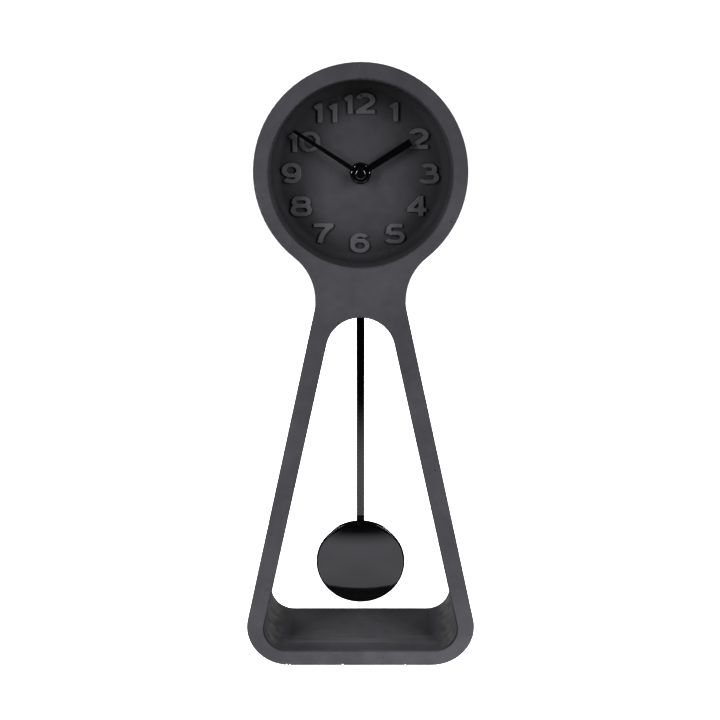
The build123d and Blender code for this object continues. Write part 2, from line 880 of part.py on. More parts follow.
with BuildPart() as positive_contact:
    contact_leaf(1, cell_plus_end + cell_nub_height)
positive_contact.part.label = "positive_contact"

with BuildPart() as negative_contact:
    contact_leaf(-1, cell_plus_end - cell_length)
negative_contact.part.label = "negative_contact"

# The drive coil in the hood, opposite the lever's magnet
with BuildPart() as drive_coil:
    coil_back = case_inside + drive_coil_height
    round_bar(magnet_place, drive_coil_radius, case_inside, coil_back)
    round_bar(magnet_place, drive_coil_bore, case_inside, coil_back, Mode.SUBTRACT)
drive_coil.part.label = "drive_coil"

# The steel pin that the pendulum lever swings on
with BuildPart() as pivot_pin:
    round_bar(pivot_place, pin_radius, case_inside, rear_bearing)
pivot_pin.part.label = "pivot_pin"

# The lever: a hub on the pin, a cup for the magnet and a peg for the rod
with BuildPart() as pendulum_lever:
    with BuildSketch(level(lever_back)):
        with Locations(pivot_place):
            Circle(lever_hub_radius)
        with Locations(magnet_place):
            Circle(drive_magnet_radius + magnet_cup_wall)
        with Locations(peg_place):
            Circle(lever_stem_width / 2)
        with Locations((0, (pivot_place[1] + peg_place[1]) / 2)):
            Rectangle(lever_stem_width, peg_drop)
    extrude(amount=lever_thickness)
    round_bar(pivot_place, lever_hub_radius, lever_back, cover_inside - free_gap)
    bore = pin_radius + running_gap
    lever_end = cover_inside - free_gap
    round_bar(pivot_place, bore, lever_front, lever_end, Mode.SUBTRACT)
    cup_floor = lever_front + drive_magnet_height - drive_magnet_stand
    cup_radius = drive_magnet_radius + seat_gap
    round_bar(magnet_place, cup_radius, lever_front, cup_floor, Mode.SUBTRACT)
    round_bar(peg_place, peg_radius, lever_back, peg_end)
    round_bar(peg_place, peg_head_radius, peg_head_front, peg_end)
pendulum_lever.part.label = "pendulum_lever"

with BuildPart() as drive_magnet:
    magnet_face = cup_floor - drive_magnet_height
    round_bar(magnet_place, drive_magnet_radius, magnet_face, cup_floor)
drive_magnet.part.label = "drive_magnet"

# The flat steel rod, hung by a keyhole on the lever's peg
rod_top = peg_place[1] + peg_radius + keyhole_gap + rod_top_wall
rod_end = bob_height - bob_radius * rod_end_share
with BuildPart() as pendulum_rod:
    with BuildSketch(level(rod_back)) as strip:
        with Locations((0, (rod_top + rod_end) / 2)):
            Rectangle(rod_width, rod_top - rod_end)
        fillet(strip.vertices().group_by(Axis.Y)[-1], rod_top_corner)
        with Locations(peg_place):
            Circle(peg_radius + keyhole_gap, mode=Mode.SUBTRACT)
        with Locations((0, peg_place[1] - keyhole_drop / 2)):
            Rectangle(
                2 * (peg_radius + keyhole_gap), keyhole_drop, mode=Mode.SUBTRACT
            )
        with Locations((0, peg_place[1] - keyhole_drop)):
            Circle(peg_head_radius + keyhole_gap, mode=Mode.SUBTRACT)
    extrude(amount=rod_thickness)
pendulum_rod.part.label = "pendulum_rod"


def bob_solid(inset, back, mode=Mode.ADD):
    """The bob's crowned disc, or the hollow inside it by an inset."""
    flat_radius = bob_radius - bob_edge_radius
    front = bob_front + inset
    crown_back = front + bob_crown
    rim = bob_height + bob_radius - inset
    edge_back = bob_front + bob_crown + bob_edge_radius
    with BuildSketch(Plane.YZ) as profile:
        with BuildLine():
            crown = TangentArc(
                (front, bob_height),
                (crown_back, bob_height + flat_radius),
                tangent=(0, 1),
            )
            TangentArc(crown @ 1, (edge_back, rim), tangent=crown % 1)
            Polyline(
                (edge_back, rim), (back, rim), (back, bob_height), (front, bob_height)
            )
        make_face()
    bob_axis = Axis((0, 0, bob_height), (0, 1, 0))
    revolve(profile.sketch, axis=bob_axis, mode=mode)


# The bob: a pressed dish, closed behind by a flat plate
with BuildPart() as bob_shell:
    bob_solid(0, bob_back)
    bob_solid(bob_wall, bob_back + overrun, Mode.SUBTRACT)
bob_shell.part.label = "bob_shell"

bob_place = (0, bob_height)
with BuildPart() as bob_back_plate:
    plate_radius = bob_radius - bob_wall - running_gap
    round_bar(bob_place, plate_radius, bob_back - back_plate_thickness, bob_back)
bob_back_plate.part.label = "bob_back_plate"

# The clip on the back of the bob that grips the end of the rod
with BuildPart() as bob_clip:
    clip_length = bob_radius * clip_length_share
    clip_bottom = bob_top - clip_length
    clip_top = bob_top + clip_stand
    clip_face = clip_front + clip_wall
    flat_block(
        (0, (clip_top + clip_bottom) / 2),
        rod_width,
        clip_top - clip_bottom,
        clip_front,
        clip_face,
    )
    foot_length = bob_radius * clip_foot_share
    foot_middle = (0, clip_bottom + foot_length / 2)
    flat_block(foot_middle, clip_foot_width, foot_length, clip_front, clip_face)
    loop_length = clip_length - clip_loop_inset
    loop_middle = (0, clip_bottom + loop_length / 2)
    loop_width = rod_width + 2 * (running_gap + clip_wall)
    flat_block(loop_middle, loop_width, loop_length, clip_front, clip_back)
    flat_block(
        loop_middle,
        rod_width + 2 * running_gap,
        loop_length,
        clip_face,
        rod_back + running_gap,
        Mode.SUBTRACT,
    )
bob_clip.part.label = "bob_clip"

# The hands, and the round nut that caps them
with BuildPart() as hour_hand:
    hour_hand_back = pipe_front + hand_thickness
    round_bar(hand_place, hour_hub_radius, pipe_front, hour_hand_back)
    hand_blade(
        hour_hand_length,
        hour_hand_root,
        hour_hand_tip,
        hour_hand_bearing,
        pipe_front,
        hour_hand_back,
    )
    bore = hour_pipe_radius + seat_gap
    round_bar(hand_place, bore, pipe_front, hour_hand_back, Mode.SUBTRACT)
hour_hand.part.label = "hour_hand"

with BuildPart() as minute_hand:
    round_bar(hand_place, minute_hub_radius, minute_hand_front, minute_shoulder)
    hand_blade(
        minute_hand_length,
        minute_hand_root,
        minute_hand_tip,
        minute_hand_bearing,
        minute_hand_front,
        minute_shoulder,
    )
    bore = minute_tip_radius + seat_gap
    round_bar(hand_place, bore, minute_hand_front, minute_shoulder, Mode.SUBTRACT)
minute_hand.part.label = "minute_hand"

with BuildPart() as hand_cap:
    round_bar(hand_place, cap_radius, cap_front, minute_hand_front)
    fillet(hand_cap.faces().sort_by(Axis.Y)[0].edges(), cap_shoulder)
    bore = minute_tip_radius + seat_gap
    bore_front = minute_hand_front - cap_bore_depth
    round_bar(hand_place, bore, bore_front, minute_hand_front, Mode.SUBTRACT)
hand_cap.part.label = "hand_cap"

for piece in (
    cast_body,
    foot_pads,
    dial_washer,
    dial_nut,
    case_gasket,
    threaded_bushing,
    movement_front_case,
    movement_rear_cover,
    middle_plate,
    hour_wheel,
    motion_wheel,
    minute_arbor,
    centre_wheel,
    third_wheel,
    seconds_wheel,
    intermediate_wheel,
    rotor_pinion,
    rotor_magnet,
    stator,
    coil_core,
    motor_coil,
    circuit_board,
    quartz_crystal,
    setting_knob,
    battery_cell,
    positive_contact,
    negative_contact,
    drive_coil,
    pivot_pin,
    pendulum_lever,
    drive_magnet,
    pendulum_rod,
    bob_shell,
    bob_back_plate,
    bob_clip,
    hour_hand,
    minute_hand,
    hand_cap,
):
    export_step(piece.part, f"parts/{piece.part.label}.step")
    print(piece.part.label, round(piece.part.volume, 1))
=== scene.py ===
# %% [markdown]
# # A desk pendulum clock in dark cast concrete
#
# The construction model of the clock arrives as a fixed frame: every piece at its real size,
# in metres, with the hinges that its hands and pendulum turn on. This lesson dresses it.
# The casting gets its pigmented concrete, the raised numbers are modelled on the dial, the
# hands, nut, cap and bob get their lacquer, and the movement in the rear pocket gets its
# moulded plastic, brass and wire. All of it is lit as a product photograph.

# %% Load the construction model
import json
from math import atan2, cos, pi, radians, sin

import bpy
from mathutils import Matrix, Vector

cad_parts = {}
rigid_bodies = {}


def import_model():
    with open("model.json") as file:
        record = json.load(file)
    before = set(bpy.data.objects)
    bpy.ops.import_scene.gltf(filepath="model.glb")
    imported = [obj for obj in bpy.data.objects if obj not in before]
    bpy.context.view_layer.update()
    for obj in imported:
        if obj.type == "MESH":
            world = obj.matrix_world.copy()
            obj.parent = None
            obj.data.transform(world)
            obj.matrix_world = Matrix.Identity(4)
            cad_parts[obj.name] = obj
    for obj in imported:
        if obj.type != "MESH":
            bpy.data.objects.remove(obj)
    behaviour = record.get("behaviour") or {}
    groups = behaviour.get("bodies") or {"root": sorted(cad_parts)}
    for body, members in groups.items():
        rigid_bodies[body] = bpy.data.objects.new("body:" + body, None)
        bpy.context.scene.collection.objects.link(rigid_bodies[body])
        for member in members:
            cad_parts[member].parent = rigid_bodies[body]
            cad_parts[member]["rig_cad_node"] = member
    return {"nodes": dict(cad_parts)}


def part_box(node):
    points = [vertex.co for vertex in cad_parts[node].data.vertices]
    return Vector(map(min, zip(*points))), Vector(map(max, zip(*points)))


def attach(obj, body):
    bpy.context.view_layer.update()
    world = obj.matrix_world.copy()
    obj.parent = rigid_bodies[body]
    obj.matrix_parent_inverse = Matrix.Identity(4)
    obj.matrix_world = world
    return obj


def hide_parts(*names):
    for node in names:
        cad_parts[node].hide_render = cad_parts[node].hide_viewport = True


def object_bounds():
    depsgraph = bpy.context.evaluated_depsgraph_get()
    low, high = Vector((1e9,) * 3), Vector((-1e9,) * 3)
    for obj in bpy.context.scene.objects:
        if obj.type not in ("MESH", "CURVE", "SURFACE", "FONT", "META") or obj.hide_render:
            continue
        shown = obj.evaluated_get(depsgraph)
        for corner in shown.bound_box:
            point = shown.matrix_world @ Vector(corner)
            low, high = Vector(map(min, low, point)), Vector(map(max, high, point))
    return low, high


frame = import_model()
cad_size = [list(corner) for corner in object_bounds()]
nodes = frame["nodes"]
print("nodes:", len(nodes), "overall box:", cad_size)

# %% [markdown]
# ## Measures
#
# Everything modelled here has to sit on the construction model, so its places are read from
# it and not typed again. The dial's face is where the washer lies, and the hands turn about
# the middle of the nut.

# %% Read the places that the new pieces sit on
MM = 0.001


def middle(node):
    """The centre of a node's box."""
    low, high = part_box(node)
    return (low + high) / 2


dial_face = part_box("dial_washer")[1].y
hand_axis = middle("dial_nut")
print("dial face at y", round(dial_face / MM, 2), "mm, hands turn at", hand_axis)

# %% [markdown]
# ## Camera
#
# The photograph was taken from about the height of the head, looking down by fifteen degrees,
# so that the upper side of the floor bar shows. A lens of 48 mm on a 36 mm wide sensor gives
# the same convergence of the two legs. The camera comes first, so that every later piece is
# judged through it.

# %% Place the camera
camera_place = (-0.35 * MM, -619.2 * MM, 377.1 * MM)
camera_tilt = radians(75.09)
camera_lens = 48.06
sensor_width = 36
nearest_shown = 10 * MM
bpy.ops.object.camera_add(location=camera_place, rotation=(camera_tilt, 0, 0))
camera = bpy.context.object
camera.data.lens = camera_lens
camera.data.sensor_width = sensor_width
camera.data.clip_start = nearest_shown
bpy.context.scene.camera = camera
print("camera at", camera.location)

# %% [markdown]
# ## Patterns for the finishes
#
# A real surface is never one flat colour. Each finish below is layered from a few patterns:
# soft noise for clouds, mottling and grain, cells for pinholes and for the pebble of moulded
# plastic, and a bump that turns a pattern into relief. All of them read Object coordinates.
# The pieces stand at the origin in metres, so the size of a pattern is its real size. The
# helpers come before the floor, because its paint is mixed with them too.

# %% Start a material


def start_material(name, roughness, metallic=0.0, specular=0.5):
    """A new material with its shader. Even values go straight onto the shader."""
    material = bpy.data.materials.new(name)
    material.use_nodes = True
    shader = material.node_tree.nodes["Principled BSDF"]
    shader.inputs["Roughness"].default_value = roughness
    shader.inputs["Metallic"].default_value = metallic
    shader.inputs["Specular IOR Level"].default_value = specular
    return material, material.node_tree, shader


# %% Find a place on a piece, and the way that it faces


def surface_place(tree, stretch=(1, 1, 1)):
    """Object coordinates in metres, stretched along each axis."""
    place = tree.nodes.new("ShaderNodeTexCoord")
    mapping = tree.nodes.new("ShaderNodeMapping")
    mapping.inputs["Scale"].default_value = stretch
    tree.links.new(place.outputs["Object"], mapping.inputs["Vector"])
    return mapping.outputs["Vector"]


def split_axes(tree, source):
    """The X, Y and Z of a place or a direction."""
    axes = tree.nodes.new("ShaderNodeSeparateXYZ")
    tree.links.new(source, axes.inputs[0])
    return axes.outputs


def place_axes(tree):
    """Object coordinates in metres, split into X, Y and Z."""
    return split_axes(tree, surface_place(tree))


def facing_axes(tree):
    """The direction that the surface faces, split into X, Y and Z."""
    coordinates = tree.nodes.new("ShaderNodeTexCoord")
    return split_axes(tree, coordinates.outputs["Normal"])


# %% Soft noise and cells


def noise_pattern(tree, size, detail=3.0, stretch=(1, 1, 1), distortion=0.0):
    """Soft noise from 0 to 1 with blotches of about the given size in metres."""
    noise = tree.nodes.new("ShaderNodeTexNoise")
    noise.inputs["Scale"].default_value = 1 / size
    noise.inputs["Detail"].default_value = detail
    noise.inputs["Distortion"].default_value = distortion
    tree.links.new(surface_place(tree, stretch), noise.inputs["Vector"])
    return noise.outputs["Fac"]


def cell_pattern(tree, size):
    """The distance from the nearest of many scattered points, one to each cell."""
    cells = tree.nodes.new("ShaderNodeTexVoronoi")
    cells.inputs["Scale"].default_value = 1 / size
    tree.links.new(surface_place(tree), cells.inputs["Vector"])
    return cells.outputs["Distance"]


# %% Arithmetic on patterns


def remap(tree, source, low, high, new_low=0.0, new_high=1.0):
    """Stretches the values between low and high over the new range, and holds the rest."""
    step = tree.nodes.new("ShaderNodeMapRange")
    for name, value in (
        ("From Min", low), ("From Max", high), ("To Min", new_low), ("To Max", new_high)
    ):
        step.inputs[name].default_value = value
    tree.links.new(source, step.inputs["Value"])
    return step.outputs["Result"]


def combine(tree, operation, first, second=0.0):
    """Arithmetic on patterns and numbers. A root or a sign needs only the first."""
    step = tree.nodes.new("ShaderNodeMath")
    step.operation = operation
    for socket, value in zip(step.inputs, (first, second)):
        if isinstance(value, (int, float)):
            socket.default_value = value
        else:
            tree.links.new(value, socket)
    return step.outputs[0]


def product(tree, first, *others):
    """Several patterns and numbers multiplied."""
    for other in others:
        first = combine(tree, "MULTIPLY", first, other)
    return first


# %% Colours and relief


def toned(colour, share):
    """A colour made darker or paler by a share."""
    return tuple(share * part for part in colour)


def mix_colours(tree, share, first, second):
    """Blends two colours. Each may be three numbers or the result of another blend."""
    mix = tree.nodes.new("ShaderNodeMix")
    mix.data_type = "RGBA"
    tree.links.new(share, mix.inputs["Factor"])
    for socket, colour in ((mix.inputs[6], first), (mix.inputs[7], second)):
        if isinstance(colour, tuple):
            socket.default_value = (*colour, 1)
        else:
            tree.links.new(colour, socket)
    return mix.outputs[2]


def relief(tree, height, depth, under=None):
    """Turns a pattern into relief of the given depth in metres, over an earlier relief."""
    bump = tree.nodes.new("ShaderNodeBump")
    bump.inputs["Distance"].default_value = depth
    tree.links.new(height, bump.inputs["Height"])
    if under:
        tree.links.new(under, bump.inputs["Normal"])
    return bump.outputs["Normal"]


# %% [markdown]
# ## Floor and surroundings
#
# A catalogue photograph stands on white. The floor is a pale table top that glows by itself
# and is pure white to the camera, so that it burns out and shows no shadow, as in the
# photograph. Its front edge matters: the lacquered rod mirrors the table below a certain
# height and the dark room above it, so it turns from grey to black where the mirrored table
# fades out, about half a metre in front of the clock. The surroundings are white to the
# camera and dim to the rest.

# %% Make the pale floor
floor_size = 1.9
floor_front = -0.66
fade_end = -0.26
floor_place = (0, floor_front + floor_size / 2, 0)
bpy.ops.mesh.primitive_plane_add(size=floor_size, location=floor_place)
bpy.ops.object.transform_apply(location=True)
floor = bpy.context.object
floor.name = "floor"
floor_paint, floor_tree, floor_shader = start_material("floor_paint", 0.9, specular=0.1)
floor_shader.inputs["Emission Color"].default_value = (1, 1, 1, 1)
floor_rays = floor_tree.nodes.new("ShaderNodeLightPath")
for socket, brightest in (("Base Color", 0.78), ("Emission Strength", 1.0)):
    fade = remap(floor_tree, place_axes(floor_tree)["Y"], floor_front, fade_end, 0, brightest)
    white = combine(floor_tree, "MAXIMUM", fade, floor_rays.outputs["Is Camera Ray"])
    floor_tree.links.new(white, floor_shader.inputs[socket])
floor.data.materials.append(floor_paint)
print("floor", floor_size, "m wide")

# %% Make the surroundings
world = bpy.data.worlds.new("studio")
bpy.context.scene.world = world
world.use_nodes = True
sky = world.node_tree
dim_sky = sky.nodes["Background"]
white_sky = sky.nodes.new("ShaderNodeBackground")
sky_lights = ((dim_sky, (0.93, 0.96, 1.0, 1), 0.03), (white_sky, (1, 1, 1, 1), 1.1))
for background, colour, strength in sky_lights:
    background.inputs["Color"].default_value = colour
    background.inputs["Strength"].default_value = strength
seen_by_camera = sky.nodes.new("ShaderNodeLightPath")
sky_choice = sky.nodes.new("ShaderNodeMixShader")
sky.links.new(seen_by_camera.outputs["Is Camera Ray"], sky_choice.inputs[0])
sky.links.new(dim_sky.outputs[0], sky_choice.inputs[1])
sky.links.new(white_sky.outputs[0], sky_choice.inputs[2])
sky.links.new(sky_choice.outputs[0], sky.nodes["World Output"].inputs["Surface"])
print("surroundings:", world.name)

# %% [markdown]
# The catalogue picture has a steep tone curve: its whites are burnt out and its blacks are
# deep. The standard view keeps white at white, and a gamma below one deepens the shadows.

# %% Set the tone curve
shadow_gamma = 0.7
tone_curve = bpy.context.scene.view_settings
tone_curve.view_transform = "Standard"
tone_curve.gamma = shadow_gamma
print("tone curve:", tone_curve.view_transform, "with a gamma of", shadow_gamma)

# %% [markdown]
# ## Lights
#
# Two tall softboxes stand at the left and the right, because the cap, the nut and the bob
# each show one long bright arc on either upper shoulder. Nothing stands straight in front: a
# panel there would be mirrored by the black hands. Two more lights behind keep the back of
# the clock readable. They stand low, so that the upper side of the floor bar stays darker
# than its front.

# %% Light the clock
clock_middle = Vector((0, 0, (cad_size[0][2] + cad_size[1][2]) / 2))


def add_panel(name, place, width, height, power):
    """A soft rectangular light that faces the middle of the clock."""
    bpy.ops.object.light_add(type="AREA", location=place)
    panel = bpy.context.object
    panel.name = name
    panel.data.shape = "RECTANGLE"
    panel.data.size = width
    panel.data.size_y = height
    panel.data.energy = power
    facing = clock_middle - Vector(place)
    panel.rotation_euler = facing.to_track_quat("-Z", "Y").to_euler()
    panel.visible_camera = False


add_panel("softbox_left", (-1.15, -1.1, 0.8), width=0.45, height=1.2, power=44)
add_panel("softbox_right", (1.15, -1.1, 0.8), width=0.5, height=1.2, power=42)
add_panel("back_left", (-1.15, 1.35, 0.3), width=0.9, height=0.9, power=58)
add_panel("back_right", (1.2, 1.3, 0.3), width=0.9, height=0.9, power=52)

# %% [markdown]
# ## Concrete
#
# The casting is concrete pigmented almost black. It is matte and slightly blue, with broad
# clouds where the pigment settled, finer mottling, pale bloom on the front and the back
# towards the foot, which painted light from the floor's bounce brightens further, a sandy
# grain, and scattered pinholes that air bubbles left against the mould, darkened inside with
# painted shade. Sparse fine scuffs catch the light, and painted shade darkens the dial towards
# its wall. Painted shade also darkens the inside of the legs low down, and more weakly the
# back of the casting low down, and along the front of the floor bar's upper side runs a
# painted sheen in streaks.
# All of this is too fine or too soft to be modelled by hand. Clouds and pinholes go into the
# colour and the relief, mottling into the colour and the roughness, the grain into the relief
# alone, and the rest into the colour alone.

# %% Where painted shade darkens the concrete
dial_radius = 57 * MM
shade_start, shade_full = 36 * MM, 53 * MM
foot_dark, foot_plain = 25 * MM, 75 * MM


def dial_shadow(tree):
    """Painted shade: 0 over most of the casting, 1 in the corner between the dial and its wall.
    """
    axes = place_axes(tree)
    height = combine(tree, "SUBTRACT", axes["Z"], hand_axis.z)
    squares = combine(
        tree, "ADD", product(tree, axes["X"], axes["X"]), product(tree, height, height)
    )
    radius = combine(tree, "SQRT", squares)
    near_wall = remap(tree, radius, shade_start, shade_full)
    inside = remap(tree, radius, dial_radius - 0.5 * MM, dial_radius, 1, 0)
    deep = remap(tree, axes["Y"], dial_face - 9 * MM, dial_face - 3 * MM)
    before_back = remap(tree, axes["Y"], dial_face + 1 * MM, dial_face + 2 * MM, 1, 0)
    return product(tree, near_wall, inside, deep, before_back)


def foot_shadow(tree):
    """Painted shade: 0 high up, 1 low on the inner faces of the legs, and weaker low at the back.
    """
    axes = place_axes(tree)
    outward = product(tree, combine(tree, "SIGN", axes["X"]), facing_axes(tree)["X"])
    inner = remap(tree, outward, -0.6, -0.02, 1, 0)
    back = remap(tree, axes["Y"], -5 * MM, 25 * MM, 0, 0.3)
    low = remap(tree, axes["Z"], foot_dark, foot_plain, 1, 0)
    return product(tree, combine(tree, "MAXIMUM", inner, back), low)


# %% Where the concrete is paler: bloom with painted light, and a painted sheen
bloom_and_bounce_top = 110 * MM
face_depth = cad_size[1][1]


def foot_bloom(tree, share):
    """Pale bloom and painted floor light on front and back, in patches, from its share at the
    foot to none above.
    """
    axes = place_axes(tree)
    low = remap(tree, axes["Z"], 0, bloom_and_bounce_top, share, 0)
    patches = remap(tree, noise_pattern(tree, 22 * MM, 5.0), 0.4, 0.75)
    from_middle = combine(tree, "ABSOLUTE", axes["Y"])
    on_face = remap(tree, from_middle, face_depth - 3 * MM, face_depth - MM)
    return product(tree, low, combine(tree, "ADD", patches, 0.35), on_face)


def bar_smear(tree):
    """A painted sheen in streaks along the upper side of the floor bar, a little behind its front
    edge.
    """
    axes = place_axes(tree)
    behind_edge = remap(tree, axes["Y"], -23 * MM, -18 * MM)
    before_middle = remap(tree, axes["Y"], -16 * MM, -4 * MM, 1, 0)
    streaks = remap(tree, noise_pattern(tree, 2.6 * MM, 3.0, stretch=(0.05, 1, 1)), 0.3, 0.7)
    level = remap(tree, facing_axes(tree)["Z"], 0.9, 0.98)
    low = remap(tree, axes["Z"], 14 * MM, 16 * MM, 1, 0)
    return product(tree, behind_edge, before_middle, streaks, level, low)


# %% Where the bubbles left pinholes


def pinholes(tree):
    """1 inside the scattered pinholes and 0 round them."""
    cells = cell_pattern(tree, 6.5 * MM)
    hole_size = remap(tree, noise_pattern(tree, 12 * MM, 2.0), 0.5, 0.66, 0, 0.075)
    return remap(tree, combine(tree, "SUBTRACT", cells, hole_size), -0.01, 0.025, 1, 0)


# %% Layer the concrete
foot_shade_gain = 1.6


def cast_concrete(name, dark, pale, bloom_and_bounce_share, shadow_share):
    """Pigmented concrete between a dark and a pale tone, with painted shade, light and sheen laid
    over.
    """
    material, tree, shader = start_material(name, 0.8, specular=0.32)
    clouds = noise_pattern(tree, 55 * MM, 4.0, distortion=0.4)
    mottling = noise_pattern(tree, 7 * MM, 5.0)
    grain = noise_pattern(tree, 0.55 * MM, 3.0)
    scuffs = noise_pattern(tree, 2.2 * MM, 2.0, stretch=(1, 1, 0.12), distortion=1.2)
    holes = pinholes(tree)
    dial_shade = product(tree, dial_shadow(tree), shadow_share)
    foot_shade = product(tree, foot_shadow(tree), foot_shade_gain * shadow_share)
    cloud_tone = remap(tree, clouds, 0.3, 0.72, 0, 0.6)
    tone = combine(tree, "ADD", cloud_tone, remap(tree, mottling, 0.32, 0.7, 0, 0.4))
    colour = mix_colours(tree, tone, dark, pale)
    layers = (
        # Pale bloom, with painted light from the floor towards the foot.
        (foot_bloom(tree, bloom_and_bounce_share), toned(pale, 1.35)),
        # Painted shade inside the pinholes.
        (holes, toned(dark, 0.35)),
        (remap(tree, scuffs, 0.74, 0.86, 0, 0.5), toned(pale, 1.9)),
        # A painted sheen along the floor bar's upper side.
        (product(tree, bar_smear(tree), 0.8), toned(pale, 1.3)),
        # Painted shade in the dial's corner and low on the legs.
        (combine(tree, "MAXIMUM", dial_shade, foot_shade), toned(dark, 0.3)),
    )
    for share, layer_colour in layers:
        colour = mix_colours(tree, share, colour, layer_colour)
    tree.links.new(colour, shader.inputs["Base Color"])
    tree.links.new(remap(tree, mottling, 0.3, 0.7, 0.7, 0.88), shader.inputs["Roughness"])
    normal = relief(tree, clouds, 0.9 * MM)
    normal = relief(tree, grain, 0.045 * MM, normal)
    normal = relief(tree, combine(tree, "SUBTRACT", 1.0, holes), 0.35 * MM, normal)
    tree.links.new(normal, shader.inputs["Normal"])
    return material


# %% Mix the concrete, a copy made paler as painted light for the numbers, and the broken concrete
concrete = cast_concrete(
    "cast_concrete", (0.034, 0.034, 0.038), (0.060, 0.059, 0.065),
    bloom_and_bounce_share=0.62, shadow_share=0.62,
)
# The numbers are the dial's own concrete. Their paler tones are painted light, for the light that
# their raised faces and edges catch, and they take little painted shade.
number_concrete = cast_concrete(
    "number_concrete", (0.062, 0.062, 0.067), (0.104, 0.103, 0.110),
    bloom_and_bounce_share=0, shadow_share=0.1,
)
broken_concrete = cast_concrete(
    "broken_concrete", (0.11, 0.11, 0.115), (0.20, 0.20, 0.205),
    bloom_and_bounce_share=0, shadow_share=0,
)
print("concrete has", len(concrete.node_tree.nodes), "nodes")

# %% [markdown]
# ## Lacquers and metals
#
# The nut, the cap and the bob are dipped in a deep gloss black, and the rod in a slightly
# duller one. The hands, the washer, and the plate and the clip behind the bob are satin: a
# fine grain spreads the light on them. Gloss needs little pattern, but a perfectly even
# mirror looks false, so a broad and very shallow waviness bends the reflections, and a
# trace of dust lifts the roughness here and there.

# %% Layer a lacquer


def black_lacquer(name, tone, roughness, grain_depth, coat=0.0, specular=0.5, tint=(1, 1, 1)):
    """A black paint film over metal, from deep gloss to satin. The tint colours its gloss."""
    material, tree, shader = start_material(name, roughness, specular=specular)
    shader.inputs["Specular Tint"].default_value = (*tint, 1)
    shader.inputs["Coat Weight"].default_value = coat
    shader.inputs["Coat Roughness"].default_value = 0.05
    film = noise_pattern(tree, 9 * MM, 3.0)
    dust = remap(tree, noise_pattern(tree, 1.6 * MM, 4.0), 0.55, 0.8)
    grain = noise_pattern(tree, 0.25 * MM, 2.0)
    colour = mix_colours(tree, film, tone, toned(tone, 1.5))
    colour = mix_colours(tree, dust, colour, toned(tone, 3.5))
    tree.links.new(colour, shader.inputs["Base Color"])
    rough = combine(tree, "ADD", product(tree, dust, 0.12), roughness)
    tree.links.new(rough, shader.inputs["Roughness"])
    normal = relief(tree, film, 0.012 * MM)
    tree.links.new(relief(tree, grain, grain_depth, normal), shader.inputs["Normal"])
    return material


# %% Mix a lacquer for each kind of piece
gloss_black = black_lacquer(
    "gloss_black_lacquer", (0.0018, 0.0018, 0.0021),
    roughness=0.10, grain_depth=0.001 * MM, coat=0.58, tint=(0.93, 0.91, 1.0),
)
hand_black = black_lacquer(
    "satin_hand_lacquer", (0.0012, 0.0012, 0.0013),
    roughness=0.30, grain_depth=0.004 * MM, specular=0.16,
)
washer_black = black_lacquer(
    "washer_lacquer", (0.0016, 0.0016, 0.0018),
    roughness=0.32, grain_depth=0.005 * MM, specular=0.22,
)
rod_black = black_lacquer(
    "rod_lacquer", (0.0016, 0.0016, 0.0018),
    roughness=0.13, grain_depth=0.002 * MM, coat=0.38,
)
print("a lacquer has", len(gloss_black.node_tree.nodes), "nodes")

# %% Draw a metal


def brushed_metal(name, colour, roughness, stretch, scratch_depth=0.01 * MM):
    """Bare metal with drawn scratches along the axis where the stretch is smallest."""
    material, tree, shader = start_material(name, roughness, metallic=1.0)
    scratches = noise_pattern(tree, 0.5 * MM, 4.0, stretch)
    stains = noise_pattern(tree, 6 * MM, 3.0)
    blend = mix_colours(tree, remap(tree, stains, 0.35, 0.75), colour, toned(colour, 0.72))
    tree.links.new(blend, shader.inputs["Base Color"])
    rough = remap(tree, scratches, 0.3, 0.7, roughness * 0.75, roughness * 1.3)
    tree.links.new(rough, shader.inputs["Roughness"])
    tree.links.new(relief(tree, scratches, scratch_depth), shader.inputs["Normal"])
    return material


# %% Mix the metals
steel = brushed_metal("brushed_steel", (0.55, 0.56, 0.58), 0.30, stretch=(1, 1, 0.06))
brass = brushed_metal("turned_brass", (0.72, 0.52, 0.24), 0.26, stretch=(1, 0.06, 1))
magnet = brushed_metal(
    "sintered_magnet", (0.20, 0.20, 0.21), 0.48, stretch=(1, 1, 1), scratch_depth=0.03 * MM
)
print("a metal has", len(steel.node_tree.nodes), "nodes")

# %% [markdown]
# ## Plastics, rubber, felt, wire and board
#
# The movement hides in the rear pocket, but anyone who turns the clock round sees it. Its
# case is injection moulded with a spark-eroded texture, which is a fine even pebble. Gears
# are a paler, smoother plastic. The felt pads are fibres, the gasket is dull rubber, the coils
# are lacquered copper wire wound in fine turns, and the cell has a printed metal jacket
# with plain bands and no words.

# %% Mix the plastics and the rubber


def moulded_plastic(name, colour, roughness, pebble, depth):
    """A moulded skin with an even pebble of the given size and depth, and slight flow marks."""
    material, tree, shader = start_material(name, roughness, specular=0.45)
    skin = cell_pattern(tree, pebble)
    flow = noise_pattern(tree, 14 * MM, 3.0, distortion=0.8)
    paler = tuple(min(1.0, 1.25 * part + 0.004) for part in colour)
    tree.links.new(mix_colours(tree, flow, colour, paler), shader.inputs["Base Color"])
    rough = remap(tree, flow, 0.3, 0.7, roughness * 0.85, roughness * 1.15)
    tree.links.new(rough, shader.inputs["Roughness"])
    normal = relief(tree, flow, 0.05 * MM)
    tree.links.new(relief(tree, skin, depth, normal), shader.inputs["Normal"])
    return material


case_plastic = moulded_plastic("case_plastic", (0.014, 0.014, 0.015), 0.42, 0.5 * MM, 0.02 * MM)
gear_plastic = moulded_plastic("gear_plastic", (0.62, 0.60, 0.54), 0.38, 0.4 * MM, 0.006 * MM)
rubber = moulded_plastic("gasket_rubber", (0.014, 0.014, 0.014), 0.78, 0.3 * MM, 0.03 * MM)
print("a plastic has", len(case_plastic.node_tree.nodes), "nodes")

# %% Press the felt


